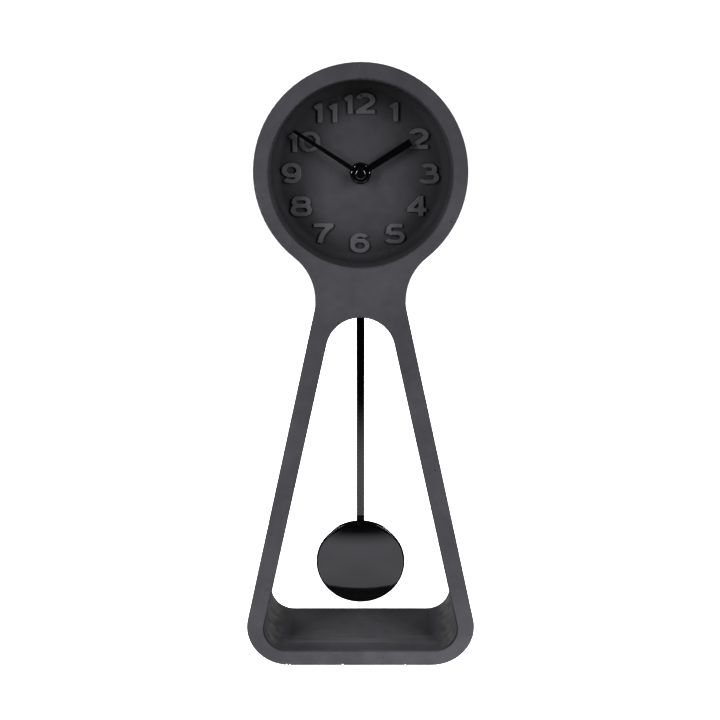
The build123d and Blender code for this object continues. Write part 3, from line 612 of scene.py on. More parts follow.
def fibre_felt(name, colour):
    """Pressed felt: short fibres in every direction and no gloss."""
    material, tree, shader = start_material(name, 0.95, specular=0.1)
    shader.inputs["Sheen Weight"].default_value = 0.4
    along = noise_pattern(tree, 0.35 * MM, 5.0, stretch=(1, 0.15, 1), distortion=2.0)
    across = noise_pattern(tree, 0.35 * MM, 5.0, stretch=(0.15, 1, 1), distortion=2.0)
    fibres = combine(tree, "MAXIMUM", along, across)
    share = remap(tree, fibres, 0.4, 0.75)
    blend = mix_colours(tree, share, colour, toned(colour, 2.2))
    tree.links.new(blend, shader.inputs["Base Color"])
    tree.links.new(relief(tree, fibres, 0.25 * MM), shader.inputs["Normal"])
    return material


felt = fibre_felt("pad_felt", (0.016, 0.016, 0.017))
print("felt has", len(felt.node_tree.nodes), "nodes")

# %% Wind the wire


def wound_wire(name, colour, wire_size):
    """Lacquered wire in fine bands that follow one another along X, with painted shade between
    them.
    """
    material, tree, shader = start_material(name, 0.32, metallic=0.85)
    turns = tree.nodes.new("ShaderNodeTexWave")
    turns.bands_direction = "X"
    turns.inputs["Scale"].default_value = 1 / (20 * wire_size)
    turns.inputs["Distortion"].default_value = 0.6
    tree.links.new(surface_place(tree), turns.inputs["Vector"])
    tone = noise_pattern(tree, 3 * MM, 2.0)
    # The darker tone is painted shade in the grooves between the turns, and also a random darker
    # tone along the wire.
    darker = toned(colour, 0.45)
    blend = mix_colours(tree, turns.outputs["Fac"], darker, colour)
    blend = mix_colours(tree, product(tree, tone, 0.4), blend, darker)
    tree.links.new(blend, shader.inputs["Base Color"])
    normal = relief(tree, turns.outputs["Fac"], wire_size / 2)
    tree.links.new(normal, shader.inputs["Normal"])
    return material


copper_wire = wound_wire("copper_wire", (0.66, 0.26, 0.12), wire_size=0.18 * MM)
print("wire has", len(copper_wire.node_tree.nodes), "nodes")

# %% Mix the circuit board's lacquer


def board_lacquer(name):
    """A green resist over copper tracks, which show through as paler lines."""
    material, tree, shader = start_material(name, 0.3, specular=0.5)
    cells = tree.nodes.new("ShaderNodeTexVoronoi")
    cells.feature = "DISTANCE_TO_EDGE"
    cells.inputs["Scale"].default_value = 1 / (2.4 * MM)
    tree.links.new(surface_place(tree), cells.inputs["Vector"])
    tracks = remap(tree, cells.outputs["Distance"], 0.05, 0.11, 1, 0)
    weave = noise_pattern(tree, 0.4 * MM, 2.0)
    base = mix_colours(tree, weave, (0.010, 0.055, 0.022), (0.016, 0.080, 0.034))
    colour = mix_colours(tree, tracks, base, (0.04, 0.17, 0.07))
    tree.links.new(colour, shader.inputs["Base Color"])
    tree.links.new(relief(tree, tracks, 0.04 * MM), shader.inputs["Normal"])
    return material


board = board_lacquer("board_lacquer")
print("the board has", len(board.node_tree.nodes), "nodes")

# %% Print the cell's jacket
dark_share = 0.72
bare_rim = 2.8 * MM
band_blur, rim_blur = 0.02 * MM, 0.14 * MM


def cell_print(name):
    """A plain jacket in two bands, dark along most of the cell and coppery at one end."""
    material, tree, shader = start_material(name, 0.28, metallic=0.6)
    along = place_axes(tree)["X"]
    low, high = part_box("battery_cell")
    copper_start = low.x + dark_share * (high.x - low.x)
    rim_start = high.x - bare_rim
    in_band = remap(tree, along, copper_start - band_blur, copper_start + band_blur)
    at_end = remap(tree, along, rim_start, rim_start + rim_blur)
    wear = remap(tree, noise_pattern(tree, 1.2 * MM, 5.0), 0.62, 0.74, 0, 0.5)
    colour = mix_colours(tree, in_band, (0.020, 0.022, 0.026), (0.62, 0.30, 0.13))
    colour = mix_colours(tree, at_end, colour, (0.62, 0.62, 0.63))
    colour = mix_colours(tree, wear, colour, (0.30, 0.30, 0.31))
    tree.links.new(colour, shader.inputs["Base Color"])
    tree.links.new(remap(tree, wear, 0, 0.5, 0.24, 0.4), shader.inputs["Roughness"])
    tree.links.new(relief(tree, wear, 0.02 * MM), shader.inputs["Normal"])
    return material


cell_jacket = cell_print("cell_jacket")
print("the jacket has", len(cell_jacket.node_tree.nodes), "nodes")

# %% [markdown]
# ## Dressing the construction model
#
# Most pieces of the construction model already have the right shape, such as the gears with
# their teeth. They keep their meshes, and only the material in their slot is exchanged.

# %% Give each node its finish
finish_of_slot = {
    "concrete": concrete,
    "felt": felt,
    "black_steel": rod_black,
    "gloss_black": gloss_black,
    "hand_black": hand_black,
    "rubber": rubber,
    "brass": brass,
    "case_plastic": case_plastic,
    "gear_plastic": gear_plastic,
    "magnet": magnet,
    "steel": steel,
    "copper_wire": copper_wire,
    "board": board,
    "cell_jacket": cell_jacket,
}
for node in nodes.values():
    for material_slot in node.material_slots:
        material_slot.material = finish_of_slot[material_slot.material.name.split(".")[0]]
print("dressed", len(nodes), "nodes with", len(finish_of_slot), "finishes")

# %% [markdown]
# ## Helpers for modelling by hand
#
# The steps below are the ones that a modeller makes with the mouse: add a primitive, go into
# edit mode, select something, and run an operator. The operators act on whatever is selected,
# so what is selected is always set first.

# %% Select a piece, and settle its place


def alone(obj):
    """Selects one object, and nothing else, and makes it active."""
    bpy.ops.object.select_all(action="DESELECT")
    obj.select_set(True)
    bpy.context.view_layer.objects.active = obj


def settle(obj):
    """Moves an object's place, turn and scale into its mesh."""
    alone(obj)
    bpy.ops.object.transform_apply(location=True, rotation=True, scale=True)
    return obj


# %% Copy a piece, and join several


def duplicate(obj, name):
    """A copy with its own mesh."""
    alone(obj)
    bpy.ops.object.duplicate(linked=False)
    copy = bpy.context.object
    copy.name = name
    return copy


def join(parts, name):
    """Makes one object of several."""
    alone(parts[0])
    for part in parts:
        part.select_set(True)
    bpy.ops.object.join()
    joined = bpy.context.object
    joined.name = name
    return joined


# %% Apply a modifier, and finish a piece
smooth_angle = 38


def modify(obj, kind, **settings):
    """Adds a modifier, sets it and applies it."""
    alone(obj)
    bpy.ops.object.modifier_add(type=kind)
    modifier = obj.modifiers[-1]
    for name, value in settings.items():
        setattr(modifier, name, value)
    bpy.ops.object.modifier_apply(modifier=modifier.name)
    return obj


def finish_piece(obj, body, material, smooth=smooth_angle):
    """Names a piece's body, slot and finish, and shades it smooth up to its edges."""
    alone(obj)
    bpy.ops.object.shade_smooth_by_angle(angle=radians(smooth))
    obj.data.materials.clear()
    obj.data.materials.append(material)
    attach(obj, body)
    return obj


# %% Select and turn in edit mode


def edit_all():
    """Goes into edit mode on the active piece, with all of it selected."""
    bpy.ops.object.mode_set(mode="EDIT")
    bpy.ops.mesh.select_all(action="SELECT")


def select_vertices(piece, wanted):
    """Goes into edit mode with only the vertices selected whose place passes the test."""
    alone(piece)
    bpy.ops.object.mode_set(mode="EDIT")
    bpy.ops.mesh.select_mode(type="VERT")
    bpy.ops.mesh.select_all(action="DESELECT")
    bpy.ops.object.mode_set(mode="OBJECT")
    for vertex in piece.data.vertices:
        vertex.select = wanted(vertex.co)
    bpy.ops.object.mode_set(mode="EDIT")


def turn_about(angle, centre):
    """Turns what is selected counterclockwise, seen from the front."""
    bpy.ops.transform.rotate(value=angle, orient_axis="Y", center_override=centre)


# %% [markdown]
# ## The raised numbers
#
# The numbers are cast with the dial. They are wide, heavy and plain, stand about a millimetre
# and a half proud, have flat tops, and their edges are soft because concrete doesn't fill a
# sharp corner of a mould. A font would bring its own serifs and contrast, so each digit is
# drawn with a broad pen instead: the pen is an edge that is extruded along straight runs and
# spun through bends. The flat strokes get their thickness, are fused by a voxel remesh and
# then smoothed, which rounds the edges as the mould did.

# %% Draw a stroke with a broad pen
digit_height = 12.6 * MM
grid_step = digit_height / 10
pen_width = 2 * grid_step
bend_step = radians(9)


def pen_stroke(start, heading, moves):
    """A flat ribbon on the plane y = 0. A number runs straight on, a pair bends."""
    first_bit = 0.02 * grid_step
    angle = radians(heading)
    ahead = Vector((cos(angle), 0, sin(angle)))
    place = Vector((start[0], 0, start[1])) * grid_step
    bpy.ops.object.select_all(action="DESELECT")
    bpy.ops.mesh.primitive_plane_add(size=1, location=place, rotation=(pi / 2, 0, 0))
    stroke = bpy.context.object
    stroke.scale = (first_bit, pen_width, 1)
    settle(stroke)
    edit_all()
    turn_about(angle, place)
    bpy.ops.object.mode_set(mode="OBJECT")
    select_vertices(stroke, lambda corner: (corner - place).dot(ahead) > 0)
    for move in moves:
        ahead = Vector((cos(angle), 0, sin(angle)))
        if isinstance(move, (int, float)):
            step = ahead * move * grid_step
            bpy.ops.mesh.extrude_region_move(TRANSFORM_OT_translate={"value": step})
            place = place + step
        else:
            radius, turn = move[0] * grid_step, radians(move[1])
            side = 1 if turn > 0 else -1
            left = Vector((-sin(angle), 0, cos(angle)))
            centre = place + left * radius * side
            steps = max(2, round(abs(turn) / bend_step))
            bpy.ops.mesh.spin(steps=steps, angle=turn, center=centre, axis=(0, 1, 0))
            place = centre + Matrix.Rotation(-turn, 3, "Y") @ (place - centre)
            angle += turn
    bpy.ops.object.mode_set(mode="OBJECT")
    return stroke


# %% The ten digits as pen strokes
# Each stroke is its start, its heading in degrees and its moves, on a grid ten steps tall. A
# number is a straight run, and a pair is a bend's radius and its turn, left or right.
six = [
    ((-0.4, 1.2), 0, [0.8, (2.6, -180), 0.8, (2.6, -180)]),
    ((-3.0, -1.4), 90, [2.4, (3.0, -90), 0.3, (3.0, -50)]),
]
digit_strokes = {
    "0": [((-3.3, 0), 90, [0.7, (3.3, -180), 1.4, (3.3, -180), 0.7])],
    "1": [((0.2, -5), 90, [9.2]), ((0.4, 3.5), 215, [2.9])],
    "2": [
        ((-2.62, 2.22), 75, [(2.4, -75), 0.6, (2.4, -143), 4.3, (1.6, 53)]),
        ((-3.4, -4), 0, [6.9]),
    ],
    "3": [
        ((-2.15, 3.05), 60, [(1.9, -60), 1.0, (1.9, -180), 1.5]),
        ((0, 0.2), 0, [1.2, (2.1, -180), 2.4, (2.1, -65)]),
    ],
    "4": [((1.5, -5), 90, [10]), ((-4.2, -1.95), 0, [8.0]), ((1.2, 4.3), 230.9, [7.6])],
    "5": [
        ((-2.3, 4), 0, [5.4]),
        ((-2.2, 4), -98, [4.2]),
        ((-2.6, -0.25), 40, [(2.4, -40), 2.2, (2.155, -180), 2.3, (2.155, -65)]),
    ],
    "6": six,
    "7": [((-3.6, 4), 0, [7.5]), ((2.9, 3.6), -132, [2.4, (9, 28), 3.0])],
    "8": [
        ((-1.3, 0.25), 0, [2.6, (2.125, -180), 2.6, (2.125, -180)]),
        ((-1.1, 4), 0, [2.2, (1.875, -180), 2.2, (1.875, -180)]),
    ],
    "9": [((-x, -z), heading + 180, moves) for (x, z), heading, moves in six],
}

# %% Model each digit once
number_rise = 1.5 * MM
number_root = 0.3 * MM
voxel_size = 0.28 * MM
usual_stretch = 1.22
digit_stretch = {"2": 1.34, "7": 1.34}


def model_digit(digit):
    """One digit at the origin, its root behind y = 0 and its flat top in front."""
    strokes = [pen_stroke(*stroke) for stroke in digit_strokes[digit]]
    shape = join(strokes, "digit_" + digit)
    shape.scale.x = digit_stretch.get(digit, usual_stretch)
    settle(shape)
    edit_all()
    bpy.ops.mesh.normals_make_consistent(inside=False)
    bpy.ops.object.mode_set(mode="OBJECT")
    modify(shape, "SOLIDIFY", thickness=number_rise + number_root, offset=0)
    modify(shape, "REMESH", mode="VOXEL", voxel_size=voxel_size)
    modify(shape, "SMOOTH", factor=0.5, iterations=4)
    shape.location.y = (number_root - number_rise) / 2
    settle(shape)
    return shape


digits = {digit: model_digit(digit) for digit in digit_strokes}
for digit, shape in digits.items():
    print("digit", digit, "is", [round(side / MM, 2) for side in shape.dimensions], "mm")

# %% [markdown]
# The twelve numbers stand upright on a circle round the hands. Two-digit numbers are set
# close, and the ten is drawn in towards the middle, because it would touch the rim otherwise.

# %% Find each number's place
# The real numbers stand a little off an even circle. Each hour's shift is given to the right
# and up, in millimetres.
number_radius = 43.2 * MM
nudged = {
    1: (0, 0.4), 2: (-1.2, -0.4), 3: (-0.3, -0.2), 4: (-1.3, 1.2), 5: (0.2, -0.5),
    6: (-0.4, -0.6), 7: (-2.2, -0.2), 8: (-0.3, 1.0), 9: (-0.3, 0.1),
    10: (2.5, -2.2), 11: (0.2, -0.2), 12: (-0.7, -0.8),
}
# Each digit has its shift to the right from the middle of its number.
number_digits = {number: [(str(number), 0)] for number in range(1, 10)}
number_digits[10] = [("1", -6.4 * MM), ("0", 3.2 * MM)]
number_digits[11] = [("1", -4.0 * MM), ("1", 5.3 * MM)]
number_digits[12] = [("1", -6.0 * MM), ("2", 3.7 * MM)]
print("numbers stand", round(number_radius / MM, 1), "mm from the hands' axis")

# %% Set the numbers on the dial


def place_number(number):
    """Copies a number's digits to its hour on the dial."""
    bearing = radians(30 * number)
    across, up = nudged[number]
    parts = []
    for digit, shift in number_digits[number]:
        part = duplicate(digits[digit], "part")
        part.location = (
            hand_axis.x + number_radius * sin(bearing) + across * MM + shift,
            dial_face,
            hand_axis.z + number_radius * cos(bearing) + up * MM,
        )
        parts.append(settle(part))
    piece = join(parts, f"dial_number_{number}")
    return finish_piece(piece, "root", number_concrete)


numbers = [place_number(number) for number in range(1, 13)]
for shape in digits.values():
    bpy.data.objects.remove(shape)
print("numbers on the dial:", len(numbers))

# %% [markdown]
# ## Tools for turned, milled and moulded pieces
#
# Most hardware is either turned on a lathe, cut from a bar or moulded. A turned piece is half
# of its outline spun round its axis. A bar starts as a cube at its own size. Either one is
# then cut, fused and softened: no real edge is perfectly sharp, and the small bevel is what
# draws the bright line along an edge in the photograph.

# %% A lathe
turn_steps = 96
seam_gap = 0.001 * MM


def turned(name, centre, outline, axis="Y", steps=turn_steps):
    """Spins an outline round an axis. Its points are pairs of a radius and a place."""
    along = Vector([float(axis == letter) for letter in "XYZ"])
    outward = Vector((0, 0, 1)) if axis == "X" else Vector((1, 0, 0))
    points = [outward * radius + along * place for radius, place in outline]
    bpy.ops.object.select_all(action="DESELECT")
    bpy.ops.mesh.primitive_plane_add(size=MM, location=centre)
    piece = settle(bpy.context.object)
    piece.name = name
    edit_all()
    bpy.ops.mesh.merge(type="CENTER")
    bpy.ops.transform.translate(value=points[0])
    for last, point in zip(points, points[1:]):
        bpy.ops.mesh.extrude_vertices_move(TRANSFORM_OT_translate={"value": point - last})
    bpy.ops.mesh.select_all(action="SELECT")
    bpy.ops.mesh.spin(steps=steps, angle=2 * pi, center=centre, axis=along)
    bpy.ops.mesh.select_all(action="SELECT")
    bpy.ops.mesh.remove_doubles(threshold=seam_gap)
    bpy.ops.mesh.normals_make_consistent(inside=False)
    bpy.ops.object.mode_set(mode="OBJECT")
    return piece


def arc_outline(centre, radius, start, end, steps=8):
    """Points along an arc of an outline, with its angles in degrees."""
    sweep = [radians(start + (end - start) * step / steps) for step in range(steps + 1)]
    return [
        (centre[0] + radius * cos(angle), centre[1] + radius * sin(angle)) for angle in sweep
    ]


# %% A saw, a file and a welder


def block(name, low, high):
    """A bar between two corners."""
    low, high = Vector(low), Vector(high)
    bpy.ops.object.select_all(action="DESELECT")
    bpy.ops.mesh.primitive_cube_add(size=1, location=(low + high) / 2)
    piece = bpy.context.object
    piece.name = name
    piece.scale = high - low
    return settle(piece)


def soften(piece, width, segments=2, angle=30):
    """Rounds every edge that is sharper than the angle."""
    return modify(
        piece, "BEVEL", width=width, segments=segments,
        limit_method="ANGLE", angle_limit=radians(angle),
    )


def combine_solids(piece, operation, tool):
    """Cuts, fuses or intersects a piece with a tool, which is used up."""
    modify(piece, "BOOLEAN", operation=operation, solver="EXACT", object=tool)
    bpy.data.objects.remove(tool)


# %% Copies of the construction model's own pieces
corner_gap = 0.002 * MM


def merged_copy(node, name):
    """A copy of a construction node, its loose triangles merged, left in edit mode."""
    piece = duplicate(nodes[node], name)
    del piece["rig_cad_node"]
    bpy.ops.mesh.customdata_custom_splitnormals_clear()
    edit_all()
    bpy.ops.mesh.remove_doubles(threshold=corner_gap)
    return piece


def softened_copy(node, name, edge):
    """A merged copy with its flat faces made whole and its edges rounded."""
    piece = merged_copy(node, name)
    bpy.ops.mesh.dissolve_limited(angle_limit=radians(0.5))
    bpy.ops.object.mode_set(mode="OBJECT")
    return soften(piece, edge)


# %% [markdown]
# ## Washer, nut and bushing
#
# The movement is clamped through the dial: a threaded bushing comes out of the centre hole,
# and a hexagon nut draws it tight over a washer. The nut is a six-sided cylinder whose
# corners are trimmed by a turned cone, as the factory trims them, because its two glints in
# the photograph sit on those trimmed corners. The thread is turned as rings half a
# millimetre apart: its climb can't be seen at this size.

# %% Turn the washer
centre = Vector((hand_axis.x, 0, hand_axis.z))
washer_low, washer_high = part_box("dial_washer")
washer_radius = washer_high.x - centre.x
bushing_radius = 3.9 * MM
washer_bore = bushing_radius + 0.1 * MM
washer = turned(
    "washer_ring", centre,
    [
        (washer_bore, washer_high.y),
        (washer_radius, washer_high.y),
        (washer_radius, washer_low.y),
        (washer_bore, washer_low.y),
        (washer_bore, washer_high.y),
    ],
)
soften(washer, 0.18 * MM, segments=3)
finish_piece(washer, "root", washer_black)
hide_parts("dial_washer")
print("washer", round(2 * washer_radius / MM, 2), "mm across")

# %% Saw the nut off a six-sided bar
nut_low, nut_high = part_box("dial_nut")
nut_corner = nut_high.x - centre.x
nut_flat = nut_high.z - centre.z
bpy.ops.object.select_all(action="DESELECT")
bpy.ops.mesh.primitive_cylinder_add(
    vertices=6, radius=nut_corner, depth=nut_high.y - nut_low.y,
    location=middle("dial_nut"), rotation=(pi / 2, radians(30), 0),
)
nut = settle(bpy.context.object)
nut.name = "clamp_nut"
print("nut", round(2 * nut_flat / MM, 2), "mm across its flats")

# %% Trim the nut's corners and bore it
corner_trim = 0.55 * MM
cone_drop, cone_lead = 0.6 * MM, 0.15 * MM
trim_cone = turned(
    "trim_cone", centre,
    [
        (0, nut_high.y + MM),
        (nut_corner + MM, nut_high.y + MM),
        (nut_corner + MM, nut_low.y + corner_trim + cone_drop),
        (nut_flat - cone_lead, nut_low.y),
        (0, nut_low.y),
    ],
)
combine_solids(nut, "INTERSECT", trim_cone)
nut_bore = turned(
    "nut_bore", centre,
    [
        (0, nut_high.y + MM),
        (bushing_radius, nut_high.y + MM),
        (bushing_radius, nut_low.y + corner_trim),
        (bushing_radius + corner_trim, nut_low.y),
        (bushing_radius + corner_trim, nut_low.y - MM),
        (0, nut_low.y - MM),
    ],
)
combine_solids(nut, "DIFFERENCE", nut_bore)
soften(nut, 0.09 * MM)
finish_piece(nut, "root", gloss_black)
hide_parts("dial_nut")
print("nut with", len(nut.data.polygons), "faces")

# %% Turn the threaded bushing
bushing_low, bushing_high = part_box("threaded_bushing")
flange_radius = bushing_high.x - centre.x
flange = 0.5 * MM
pipe_bore = 2.55 * MM
thread_pitch = 0.5 * MM
thread_depth = 0.26 * MM
thread_count = int((dial_face - bushing_low.y) / thread_pitch)
bushing_outline = [
    (pipe_bore, bushing_high.y),
    (flange_radius, bushing_high.y),
    (flange_radius, bushing_high.y - flange),
    (bushing_radius, bushing_high.y - flange),
]
for turn in range(thread_count, 0, -1):
    crest = bushing_low.y + turn * thread_pitch
    bushing_outline.append((bushing_radius, crest))
    bushing_outline.append((bushing_radius - thread_depth, crest - thread_pitch / 2))
bushing_outline += [
    (bushing_radius - thread_depth, bushing_low.y),
    (pipe_bore, bushing_low.y),
    (pipe_bore, bushing_high.y),
]
bushing = turned("bushing_thread", centre, bushing_outline)
finish_piece(bushing, "root", brass)
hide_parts("threaded_bushing")
print("bushing with", thread_count, "turns of thread")

# %% [markdown]
# ## Hands and cap
#
# Both hands are stamped from thin strip: a blunt bar with a round eye at one end and no tail.
# The hour hand widens a little outwards, the minute hand narrows, and it has a slight crease
# along its middle, which shows as a paler line. Each is a bar that is tapered by scaling its
# far end, fused with a turned eye and then swung to the time of day that the construction
# model shows. The cap nut over them has a flat top and a rolled shoulder.

# %% Read which way a hand points
tip_share = 0.97


def hand_reach(node):
    """The middle of a hand's tip, seen from the axis that it turns on."""
    corners = [corner.co for corner in nodes[node].data.vertices]
    places = [Vector((corner.x, 0, corner.z)) - centre for corner in corners]
    reach = max(place.length for place in places)
    far = [place for place in places if place.length > tip_share * reach]
    return sum(far, Vector()) / len(far)


def swing(piece, direction):
    """Turns a piece that lies along +X until it points along the direction."""
    alone(piece)
    turn_about(atan2(direction.z, direction.x), centre)
    return settle(piece)


# %% Stamp a hand
edge_line = 0.1 * MM


def stamped_hand(name, node, root, tip, eye_radius, crease):
    """A tapered bar with an eye, its front face creased along the middle."""
    low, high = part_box(node)
    reach = hand_reach(node)
    bar = block(
        name,
        (centre.x, low.y, centre.z - root / 2),
        (centre.x + reach.length, high.y, centre.z + root / 2),
    )
    select_vertices(bar, lambda place: place.x > centre.x + reach.length / 2)
    bpy.ops.transform.resize(value=(1, 1, tip / root), center_override=centre)
    bpy.ops.mesh.select_all(action="SELECT")
    bpy.ops.mesh.bisect(plane_co=centre, plane_no=(0, 0, 1))
    bpy.ops.object.mode_set(mode="OBJECT")
    select_vertices(
        bar, lambda place: place.y < low.y + edge_line and abs(place.z - centre.z) > edge_line
    )
    bpy.ops.transform.translate(value=(0, crease, 0))
    bpy.ops.object.mode_set(mode="OBJECT")
    eye = turned(
        "eye", centre, [(0, high.y), (eye_radius, high.y), (eye_radius, low.y), (0, low.y)]
    )
    combine_solids(bar, "UNION", eye)
    soften(bar, 0.12 * MM)
    return swing(bar, reach)


# %% Stamp both hands
hour_hand = stamped_hand(
    "hour_hand_bar", "hour_hand", root=3.7 * MM, tip=4.6 * MM, eye_radius=4.2 * MM, crease=0
)
minute_hand = stamped_hand(
    "minute_hand_bar", "minute_hand",
    root=2.9 * MM, tip=1.9 * MM, eye_radius=3.8 * MM, crease=0.16 * MM,
)
finish_piece(hour_hand, "hour", hand_black)
finish_piece(minute_hand, "minute", hand_black, smooth=12)
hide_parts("hour_hand")
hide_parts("minute_hand")
print("hour hand points to", hand_reach("hour_hand"), "minute hand to", hand_reach("minute_hand"))

# %% Turn the cap
cap_low, cap_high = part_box("hand_cap")
cap_radius = cap_high.x - centre.x
cap_roll, cap_edge = 1.25 * MM, 0.2 * MM
cap = turned(
    "cap_nut", centre,
    [(0, cap_high.y), (cap_radius - cap_edge, cap_high.y), (cap_radius, cap_high.y - cap_edge)]
    + arc_outline((cap_radius - cap_roll, cap_low.y + cap_roll), cap_roll, 0, -90, 10)
    + [(0, cap_low.y)],
)
finish_piece(cap, "minute", gloss_black)
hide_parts("hand_cap")
print("cap", round(2 * cap_radius / MM, 2), "mm across")

# %% [markdown]
# ## Pendulum
#
# The bob is a pressed dish of gloss black metal. Its face isn't flat: it is a very shallow
# dome, about as curved as a ball of thirty centimetres. That is read from the photograph,
# where the mirrored edge of the table becomes a wide dark band across the top of the face
# and the mirrored floor bar a narrow one along its foot. A tight roll at the rim carries the
# two bright arcs. The plate behind it has a pressed ring, and a folded clip riveted to the
# plate grips the rod, a thin lacquered strip.

# %% Draw the curve of the bob's face
bob_low, bob_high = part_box("bob_shell")
bob_middle = middle("bob_shell")
bob_centre = Vector((bob_middle.x, 0, bob_middle.z))
bob_radius = (bob_high.x - bob_low.x) / 2
dome_rise = 2.9 * MM
rim_roll = 1.6 * MM
bob_wall = 0.8 * MM
dome_edge = bob_radius - rim_roll
dome_radius = (dome_edge**2 + dome_rise**2) / (2 * dome_rise)


def dome_outline(front, edge, steps=24):
    """Points of the shallow dome from its middle out to an edge radius."""
    radii = [edge * step / steps for step in range(steps + 1)]
    return [
        (radius, front + dome_radius - (dome_radius**2 - radius**2) ** 0.5) for radius in radii
    ]


print("dome radius", round(dome_radius / MM), "mm")

# %% Press the bob's dish
bead = 0.35 * MM
roll_centre = (dome_edge, bob_low.y + dome_rise + rim_roll)
inner_rim = bob_radius - bob_wall
outer_face = dome_outline(bob_low.y, dome_edge)
inner_face = dome_outline(bob_low.y + bob_wall, dome_edge)
bob = turned(
    "bob_dish", bob_centre,
    outer_face[:-1]
    + arc_outline(roll_centre, rim_roll, -78, 0, 10)
    + arc_outline((bob_radius - bead, bob_high.y - bead), bead, 0, 90, 4)
    + [(inner_rim, bob_high.y - bead / 2), (inner_rim, roll_centre[1])]
    + inner_face[::-1],
    steps=160,
)
finish_piece(bob, "pendulum", gloss_black)
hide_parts("bob_shell")
print("bob", round(2 * bob_radius / MM), "mm across")

# %% Press the back plate
plate_low, plate_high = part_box("bob_back_plate")
plate_radius = (plate_high.x - plate_low.x) / 2
plate_edge, ring_depth = 0.15 * MM, 0.35 * MM
ring_inner, ring_outer, ring_slope = 25.6 * MM, 28.4 * MM, 0.6 * MM
back_plate = turned(
    "bob_back_disc", bob_centre,
    [
        (0, plate_low.y),
        (plate_radius, plate_low.y),
        (plate_radius, plate_high.y - plate_edge),
        (plate_radius - plate_edge, plate_high.y),
        (ring_outer, plate_high.y),
        (ring_outer - ring_slope, plate_high.y - ring_depth),
        (ring_inner + ring_slope, plate_high.y - ring_depth),
        (ring_inner, plate_high.y),
        (0, plate_high.y),
    ],
    steps=128,
)
finish_piece(back_plate, "pendulum", washer_black)
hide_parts("bob_back_plate")
print("back plate", round(2 * plate_radius / MM), "mm across")

# %% Head a rivet
clip_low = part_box("bob_clip")[0]
rivet_radius, rivet_rise = 0.95 * MM, 0.4 * MM
rivet_face = clip_low.y + 0.6 * MM
rivet_root = rivet_face - 0.1 * MM
rivet = turned(
    "rivet", (0, 0, 0),
    [(0, rivet_root), (rivet_radius, rivet_root)]
    + arc_outline((0, rivet_face), rivet_radius, 0, 90, 6),
    steps=24,
)
select_vertices(rivet, lambda place: place.y > rivet_face)
bpy.ops.transform.resize(
    value=(1, rivet_rise / rivet_radius, 1), center_override=(0, rivet_face, 0)
)
bpy.ops.object.mode_set(mode="OBJECT")
print("rivet", round(2 * rivet_radius / MM, 1), "mm across")

# %% Fold the clip and rivet it
rivet_side, rivet_row = 5.2 * MM, (2.9 * MM, 8.4 * MM)
rivets = []
for side in (-1, 1):
    for rise in rivet_row:
        copy = duplicate(rivet, "rivet")
        copy.location = (side * rivet_side, 0, clip_low.z + rise)
        rivets.append(settle(copy))
bpy.data.objects.remove(rivet)
clip = join([softened_copy("bob_clip", "bob_clip_fold", 0.14 * MM), *rivets], "bob_clip_fold")
finish_piece(clip, "pendulum", washer_black)
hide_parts("bob_clip")
print("clip with", len(rivets), "rivets")

# %% Roll the rod's edges
rod_low, rod_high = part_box("pendulum_rod")
rod = softened_copy("pendulum_rod", "rod_strip", 0.18 * MM)
finish_piece(rod, "pendulum", rod_black)
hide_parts("pendulum_rod")
print("rod", round((rod_high.z - rod_low.z) / MM), "mm long")

# %% [markdown]
# ## Cell and contacts
#
# A dry cell is a steel can in a printed jacket. The jacket is rolled over the can at both
# ends, the foot is a slightly sunk disc, and the top carries a small raised nub inside a
# narrow ring. Can and jacket are turned about the cell's long axis. The two contacts that
# hold it are bent from sheet, so their edges are only just softened.

# %% Turn the cell's jacket
cell_low, cell_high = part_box("battery_cell")
cell_centre = Vector((0, middle("battery_cell").y, middle("battery_cell").z))
cell_radius = (cell_high.z - cell_low.z) / 2
nub_radius, nub_height = 2.7 * MM, 1.4 * MM
jacket_roll = 0.8 * MM
jacket_mouth = 5.4 * MM
sunk = 0.35 * MM
jacket_top = cell_high.x - nub_height
jacket = turned(
    "cell_sleeve", cell_centre,
    [(jacket_mouth, cell_low.x + sunk), (jacket_mouth, cell_low.x)]
    + arc_outline((cell_radius - jacket_roll, cell_low.x + jacket_roll), jacket_roll, -90, 0)
    + arc_outline((cell_radius - jacket_roll, jacket_top - jacket_roll), jacket_roll, 0, 90)
    + [(jacket_mouth, jacket_top), (jacket_mouth, jacket_top - sunk)],
    axis="X",
)
finish_piece(jacket, "root", cell_jacket)
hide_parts("battery_cell")
print("cell", round((cell_high.x - cell_low.x) / MM, 1), "mm long")

# %% Turn the cell's can
can = turned(
    "cell_can", cell_centre,
    [
        (0, cell_low.x + sunk / 3),
        (1.2 * nub_radius, cell_low.x + sunk / 3),
        (1.35 * nub_radius, cell_low.x + 0.8 * sunk),
        (jacket_mouth + 0.2 * MM, cell_low.x + 0.8 * sunk),
        (jacket_mouth + 0.2 * MM, jacket_top - 0.8 * sunk),
        (1.5 * nub_radius, jacket_top - 0.8 * sunk),
        (1.4 * nub_radius, jacket_top - sunk / 4),
        (nub_radius, jacket_top),
        (nub_radius, cell_high.x - sunk),
    ]
    + arc_outline((nub_radius - sunk, cell_high.x - sunk), sunk, 15, 90, 4)
    + [(0, cell_high.x)],
    axis="X",
)
finish_piece(can, "root", steel)
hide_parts("battery_cell")
print("nub", round(2 * nub_radius / MM, 1), "mm across")

# %% Soften the two contacts
for end in ("positive_contact", "negative_contact"):
    leaf = softened_copy(end, end.replace("contact", "leaf"), 0.08 * MM)
    finish_piece(leaf, "root", steel)
    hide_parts(end)
    print(leaf.name, "has", len(leaf.data.polygons), "faces")

